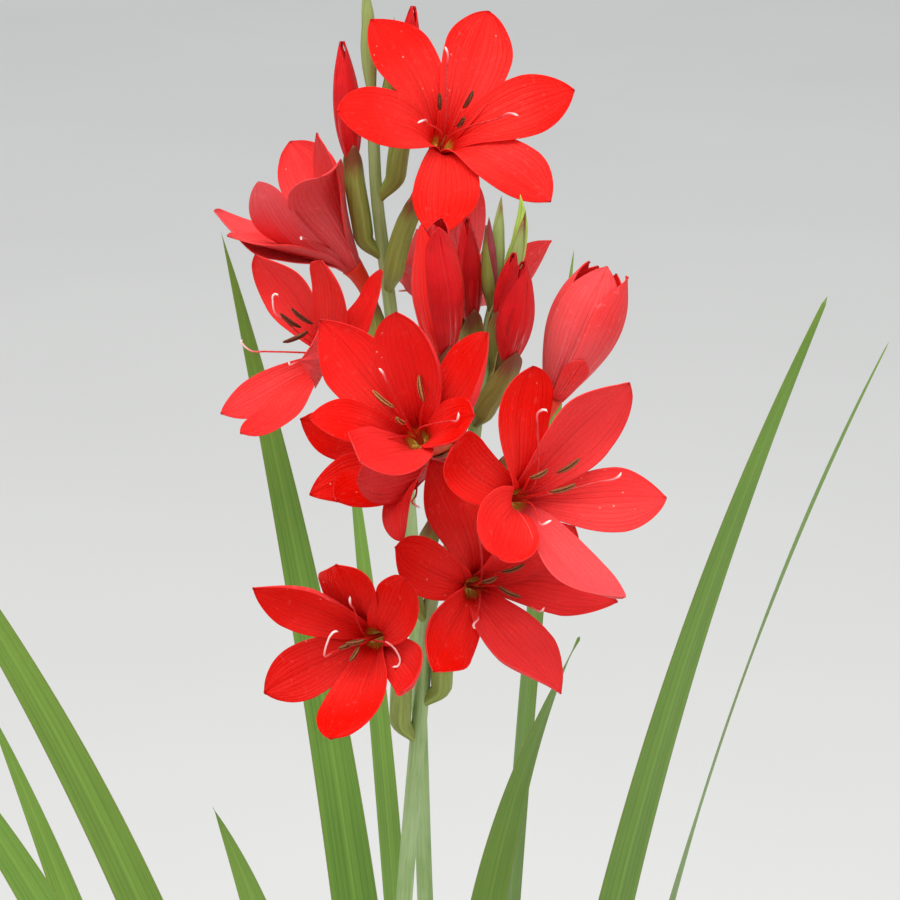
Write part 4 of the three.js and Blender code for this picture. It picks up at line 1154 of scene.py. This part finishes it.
# %% [markdown]
# ## Stem tips
# Each stem ends in closed bracts round buds too young to show. They are slim pointed sheaths,
# some still fresh yellow green. Each is a thin spindle with one bract wrapped round it, which
# is enough at this size. A row has its foot and its tip, its radius, how far it bows to the
# right, where the outer bract stands in degrees, and the finishes inside and outside.
# %% Closed bracts at the stem tips
TIP_SPATHES = {
    "front_tip_spathe_1": ((14.2, -2.9, 603), (13.8, -3.4, 621), 1.6, 0.0, -75,
                           (maroon_bract, bract_green)),
    "front_tip_spathe_2": ((15.6, 0.5, 606.6), (16.4, 0, 624.5), 1.4, -0.4, 35,
                           (pale_bract, pale_bract)),
    "front_tip_spathe_3": ((17.6, 3, 605), (20.2, 3, 624), 1.7, 1.3, 35,
                           (fresh_bract, fresh_bract)),
    "front_tip_spathe_4": ((16.6, -1.6, 600), (21.2, -1, 621.7), 1.4, 0.5, -30,
                           (bract_green, pale_bract)),
    "back_tip_spathe_1": ((-11.2, 45, 637.8), (-12.5, 44, 662), 1.6, 0.4, 35,
                          (pale_bract, pale_bract)),
    "back_tip_spathe_2": ((-8, 45.5, 628), (-6, 47, 652), 1.5, 0.4, 35,
                          (pale_bract, bract_green)),
}
tip_profile = rounded((0, 0.0), (0.02, 0.3), (0.12, 0.5), (0.3, 0.85), (0.45, 1.0), (0.7, 0.78),
                      (0.92, 0.25), (1.0, 0.0))
for name, (foot, tip, radius, bow, turn, (inner, outer)) in TIP_SPATHES.items():
    foot, tip, aside = np.array(foot, float), np.array(tip, float), np.array((bow, 0, 0))
    rise = (tip - foot) / 3
    line = rooted(Line(bezier(foot, foot + rise + aside, tip - rise + aside * 1.4, tip, 30)))
    core = rod(f"{name}_core", line, lambda v: tip_profile(v) * radius, 16, 30, inner)

    def lay(u, v, line=line, radius=radius, turn=turn):
        angle = math.radians(turn) + (0.5 - u) * 1.6 * np.radians(bract_reach(v * 0.96))
        return line.around(v * 0.92, angle, tip_profile(v * 0.92) * radius + 0.12 + 0.25 * u)

    wrap = finish_mesh(sheet(f"{name}_outer", 16, 26, lay, outer, outer, outer), 0.05,
                       thickness=-0.2)
    place_on_plant(join(f"{name}_bracts", [core, wrap]), name)
print("tip bracts:", len(TIP_SPATHES))

# %% [markdown]
# ## Leaves
# A sword leaf is long and narrow, folded at the foot, with a raised midrib on both faces and
# a long point. A flat ribbon with thickness would do for grass. Here the sheet goes once round
# the blade's lens section instead, so that the blade thins toward its rims and is closed. A
# row has its foot on the soil, the way it leans in degrees, its length and width, how far it
# leans at its foot and at its tip, and how far it turns about itself. The last two leave
# their stems at a height that their foot has as its third number.
# %% Leaf measurements
LEAVES = [
    ("leaf_1", (-20, -15), 185, 400, 12, (4, 34), 25),
    ("leaf_2", (-26, -8), 160, 300, 11, (12, 52), 40),
    ("leaf_3", (-4, -17), -20, 330, 11, (6, 40), 30),
    ("leaf_4", (4, -12), 15, 280, 12, (14, 58), 50),
    ("leaf_5", (-14, -24), -102, 260, 10, (10, 48), 66),
    ("leaf_6", (-22, -24), -140, 300, 11, (14, 56), 45),
    ("leaf_7", (0, 30), 150, 455, 12, (2, 16), 60),
    ("leaf_8", (16, 28), 5, 450, 13, (3, 22), 40),
    ("leaf_9", (22, 22), -15, 400, 11, (10, 44), 35),
    ("leaf_10", (-8, 34), 170, 430, 12, (8, 36), 30),
    ("leaf_11", (12, 38), 75, 440, 12, (5, 30), 60),
    ("leaf_12", (4, 44), 100, 400, 10, (12, 52), 50),
    ("leaf_13", (24, 36), 40, 430, 12, (6, 38), 45),
    ("leaf_14", (-30, 0), 145, 350, 11, (8, 30), 55),
    ("leaf_15", (32, 8), -50, 250, 10, (16, 62), 60),
    ("leaf_16", (-36, -20), 200, 240, 10, (20, 66), 40),
    ("front_stem_leaf", (-18.4, -5, 322), 178, 170, 10, (3, 22), 40),
    ("back_stem_leaf", (7.2, 39, 352), 8, 160, 10, (3, 26), 40),
]
leaf_width = eased((0, 0.55), (0.15, 0.85), (0.38, 1.0), (0.6, 0.95), (0.79, 0.72), (0.92, 0.38),
                   (0.98, 0.12), (1, 0.0))
print("leaves are", min(row[3] for row in LEAVES), "to", max(row[3] for row in LEAVES), "mm long")

# %% Leaves
# Height of the leaves' feet, half the blade's thickness and how far its midrib stands out.
SOIL_LINE, BLADE_HALF, RIB_HEIGHT = 151.3, 0.2, 0.42


def leaf(name, foot, toward, length, width, lean, turn, chance):
    """A blade from its foot: the way it leans, its length and width in millimetres, how far
    it leans at foot and tip and how far it turns about itself, in degrees."""
    toward = math.radians(toward)
    outward = np.array([math.cos(toward), math.sin(toward), 0])
    upward = np.array([0, 0, 1.0])
    sideways = np.cross(upward, outward)
    steps = 120
    s_step = (np.arange(steps) + 0.5) / steps
    angle = np.radians(lean[0] + (lean[1] - lean[0]) * s_step ** 2)
    ways = np.sin(angle)[:, None] * outward + np.cos(angle)[:, None] * upward
    start = np.array([*foot, SOIL_LINE][:3])
    centres = start + np.vstack([np.zeros(3), np.cumsum(ways, axis=0)]) * length / steps
    stations = np.linspace(0, 1, steps + 1)
    wave, phase = chance.uniform(0.2, 0.6), chance.uniform(0, 6)
    inward = np.zeros(3)
    if len(foot) > 2:
        stem, index = nearest_stem(start)
        inward = (stem.points[index] - start) * 0.7

    def lay(u, v):
        s = 1 - (1 - v) ** 1.15
        centre = np.stack([np.interp(s, stations, centres[:, k]) for k in range(3)], axis=1)
        centre = centre + inward * np.clip(1 - s * 7, 0, 1)[:, None] ** 1.5
        bend = np.radians(lean[0] + (lean[1] - lean[0]) * s * s)[:, None]
        in_plane = np.cos(bend) * outward - np.sin(bend) * upward
        twist = np.radians(turn * s)[:, None]
        edge = np.cos(twist) * in_plane + np.sin(twist) * sideways
        face = np.cos(twist) * sideways - np.sin(twist) * in_plane
        t = np.cos(u * math.tau)
        front = np.sin(u * math.tau)
        half = leaf_width(s) * width / 2
        rib = RIB_HEIGHT * np.exp(-(t / 0.13) ** 2) * (1 - s) ** 0.5
        thick = np.sign(front) * np.abs(front) ** 0.7 * (BLADE_HALF * (1 - 0.5 * s) + rib)
        sway = wave * np.sin(s * 7 + phase) * t * np.clip(s * 2, 0, 1)
        thick, half = thick * ends(v), half * ends(v)
        return centre + edge * (half * t)[:, None] + face * (thick + sway * ends(v))[:, None]

    made = sheet(name, 24, 110, lay, leaf_green)
    remap(made, 0, lambda u: 0.5 + 0.5 * np.cos(u * math.tau))
    return finish_mesh(made, chance.uniform(0.0, 0.12), weld=True)


for order, row in enumerate(LEAVES):
    made = leaf(f"{row[0]}_blade", *row[1:], np.random.default_rng(300 + order))
    place_on_plant(made, row[0])
print("leaves:", len(LEAVES))

# %% [markdown]
# ## Pot
# The pot is thrown clay: a tapered body, a broad rim band, a rounded lip. It is modelled by
# hand: a circle is extruded up and widened ring by ring, over the lip and down the inside.
# Bevel rounds the edges that a potter's sponge would round.
# %% Clay finish
def clay_finish():
    finish = Finish("fired_clay")
    where = finish.place()
    height = finish.split(where)[2]
    cloud = finish.noise(where, 14, 5, 0.6)
    grain = finish.noise(where, 700, 3)
    wheel = finish.noise(finish.node("CombineXYZ", inputs={2: height + (cloud - 0.5) * 0.003}),
                         420, 2)
    colour = finish.mix(finish.step(cloud, 0.3, 0.7), (0.42, 0.155, 0.068), (0.56, 0.25, 0.13))
    colour = finish.mix(wheel * 0.35, colour, (0.36, 0.13, 0.06))
    bloom = finish.step(finish.noise(where, 30, 6, 0.7) + (0.09 - height) * 1.2, 0.52, 0.72)
    colour = finish.mix(bloom * 0.55, colour, (0.74, 0.62, 0.52))
    colour = finish.mix(finish.step(grain, 0.66, 0.74) * 0.5, colour, (0.22, 0.10, 0.06))
    finish.bump(wheel * 0.8 + grain * 0.35 + cloud * 0.5, 0.0006)
    return finish.done(colour, 0.78 + (bloom - 0.5) * 0.12)


fired_clay = clay_finish()

# %% Pot
FOOT_RADIUS = 64
# Radius and height of each ring: up the outside, over the lip and down the inside.
POT_RINGS = [(66, 2), (88, 138), (94, 138), (95, 139.5), (97, 178), (95, 180), (84, 180),
             (82, 178), (81, 150), (58.5, 11)]


def ring_up(radius, height, last):
    """Extrudes the open ring to a new radius and height."""
    bpy.ops.mesh.extrude_region_move(
        TRANSFORM_OT_translate={"value": (0, 0, (height - last[1]) * MM)})
    scale = radius / last[0]
    bpy.ops.transform.resize(value=(scale, scale, 1), center_override=(0, 0, 0))
    return radius, height


clear_selection()
bpy.ops.mesh.primitive_circle_add(vertices=96, radius=FOOT_RADIUS * MM, fill_type="NGON")
pot = bpy.context.object
pot.name = "clay_pot"
bpy.ops.object.mode_set(mode="EDIT")
bpy.ops.mesh.select_all(action="SELECT")
last = (FOOT_RADIUS, 0)
for radius, height in POT_RINGS:
    last = ring_up(radius, height, last)
bpy.ops.object.mode_set(mode="OBJECT")
pot.data.materials.append(fired_clay)
edges = pot.modifiers.new("sponged", "BEVEL")
edges.width = 1.1 * MM
edges.segments = 3
edges.limit_method = "ANGLE"
edges.angle_limit = math.radians(20)
pick(pot)
bpy.ops.object.modifier_apply(modifier=edges.name)
edit_all(pot, bpy.ops.mesh.normals_make_consistent, inside=False)
bpy.ops.object.shade_smooth_by_angle(angle=math.radians(35))
place_on_plant(pot, "pot")
print("pot:", len(pot.data.polygons), "faces")

# %% [markdown]
# ## Soil
# Moist potting soil is crumbs of many sizes on an uneven bed. The bed is a disc of rings,
# raised and lowered by noise in code. A few crumbs are modelled once as rough stones, and
# hundreds of copies of them are strewn over it as one mesh.
# %% Soil
def soil_finish():
    finish = Finish("potting_soil")
    where = finish.place()
    crumb = finish.noise(where, 420, 4, 0.65)
    damp = finish.step(finish.noise(where, 24, 3), 0.38, 0.62)
    colour = finish.mix(finish.step(crumb, 0.35, 0.7), (0.018, 0.011, 0.007), (0.085, 0.052, 0.030))
    colour = finish.mix(damp * 0.5, colour, (0.030, 0.019, 0.012))
    fibre = finish.step(finish.noise(where, 1400, 2), 0.68, 0.74)
    colour = finish.mix(fibre * 0.5, colour, (0.20, 0.13, 0.07))
    finish.bump(crumb + finish.noise(where, 1500, 3) * 0.4, 0.0012)
    return finish.done(colour, 0.85 - damp * 0.25)


potting_soil = soil_finish()
CRUMB_KINDS, CRUMB_COUNT, STREWN_RADIUS = 4, 900, 78
# Heights in millimetres: the level soil, how far it sinks by the wall, and its highest crest.
SURFACE, SINKS, HIGHEST = 149.7, 2.8, 149.9
# Where the bed meets the wall at its top and at its bottom, as radius and height.
WALL_TOP, WALL_FOOT = (79.5, 147), (57.5, 11.5)
chance = np.random.default_rng(7)
hills = [(chance.uniform(-60, 60), chance.uniform(-60, 60), chance.uniform(5, 16),
          chance.uniform(-1.0, 0.5)) for _ in range(60)]


def ground_height(x, y):
    """Height of the soil in millimetres, level in the middle and lower by the wall."""
    away = np.hypot(x, y)
    height = SURFACE - SINKS * np.clip((away - 64) / 14, 0, 1)
    for hx, hy, wide, tall in hills:
        height = height + tall * np.exp(-((x - hx) ** 2 + (y - hy) ** 2) / wide ** 2)
    return np.minimum(height, HIGHEST)


def lay_soil(u, v):
    """The bed: out over the surface, down the wall and back under to the middle."""
    out = np.interp(v, [0, 0.8, 0.9, 1.0], [0.0, WALL_TOP[0], WALL_FOOT[0], 0.0])
    x, y = out * np.cos(u * math.tau), -out * np.sin(u * math.tau)
    wall = np.interp(v, [0.8, 0.9], [WALL_TOP[1], WALL_FOOT[1]])
    z = np.where(v <= 0.8, ground_height(x, y), wall)
    return np.stack([x, y, z], axis=1)


bed = finish_mesh(sheet("soil_bed", 120, 60, lay_soil, potting_soil), weld=True)
crumbs = []
for i in range(CRUMB_KINDS):
    clear_selection()
    bpy.ops.mesh.primitive_ico_sphere_add(subdivisions=2, radius=1.0)
    made = bpy.context.object
    edit_all(made, bpy.ops.transform.vertex_random, offset=0.28, uniform=0.4, normal=0.5,
             seed=i + 1)
    faces = np.array([tuple(face.vertices) for face in made.data.polygons])
    crumbs.append((points_of(made), faces))
    bpy.data.objects.remove(made)

all_points, all_faces, count = [], [], 0
for i in range(CRUMB_COUNT):
    points, faces = crumbs[i % CRUMB_KINDS]
    away, around = STREWN_RADIUS * math.sqrt(chance.uniform(0, 1)), chance.uniform(0, math.tau)
    x, y = away * math.cos(around), away * math.sin(around)
    size = 0.5 + 1.1 * chance.uniform(0, 1) ** 3
    turned = points @ np.linalg.qr(chance.normal(size=(3, 3)))[0].T
    middle = np.array([x, y, float(ground_height(x, y)) - size * 0.1])
    all_points.append(turned * size * np.array([1, 1, 0.75]) + middle)
    all_faces.append(faces + count)
    count += len(points)
strewn = bpy.data.meshes.new("soil_crumbs")
strewn.from_pydata((np.vstack(all_points) * MM).tolist(), [], np.vstack(all_faces).tolist())
crumb_piece = bpy.data.objects.new("soil_crumbs", strewn)
bpy.context.collection.objects.link(crumb_piece)
strewn.materials.append(potting_soil)
edit_all(crumb_piece, bpy.ops.mesh.normals_make_consistent, inside=False)
place_on_plant(join("soil_bed", [bed, crumb_piece]), "soil")
print("soil crumbs:", CRUMB_COUNT)

# %% [markdown]
# ## Floor and light
# A plain pale floor, a soft sky all round and two broad soft lamps, one high above and a
# little in front of the flowers and a weaker one from the right, as a bright overcast day
# lights a garden. One hard lamp would be quicker, but its shadows would hide the tepals.
# %% Floor and light
def floor_finish():
    finish = Finish("pale_floor")
    cloud = finish.noise(finish.place(), 2, 3)
    return finish.done(finish.mix(cloud, (0.74, 0.74, 0.72), (0.80, 0.80, 0.78)),
                       0.8 + (cloud - 0.5) * 0.1)


clear_selection()
bpy.ops.mesh.primitive_plane_add(size=14, location=(0, 0, 0))
floor = bpy.context.object
floor.name = "floor"
floor.data.materials.append(floor_finish())

world = bpy.data.worlds.new("sky")
bpy.context.scene.world = world
world.use_nodes = True
background = world.node_tree.nodes["Background"]
background.inputs["Color"].default_value = (0.96, 0.98, 1.0, 1)
background.inputs["Strength"].default_value = 0.7


def soft_lamp(name, place, size, watts, colour):
    """A square lamp that looks at the flowers."""
    data = bpy.data.lights.new(name, "AREA")
    data.shape = "SQUARE"
    data.size = size
    data.energy = watts
    data.color = colour
    lamp = bpy.data.objects.new(name, data)
    bpy.context.collection.objects.link(lamp)
    lamp.location = place
    way = LOOKED_AT - Vector(place)
    lamp.rotation_euler = way.to_track_quat("-Z", "Y").to_euler()
    print(name, "shines at", watts, "W")


soft_lamp("high_lamp", (-0.25, -0.7, 2.2), 1.3, 32, (1.0, 0.98, 0.95))
soft_lamp("right_lamp", (1.3, -0.6, 1.1), 1.0, 4, (0.95, 0.98, 1.0))
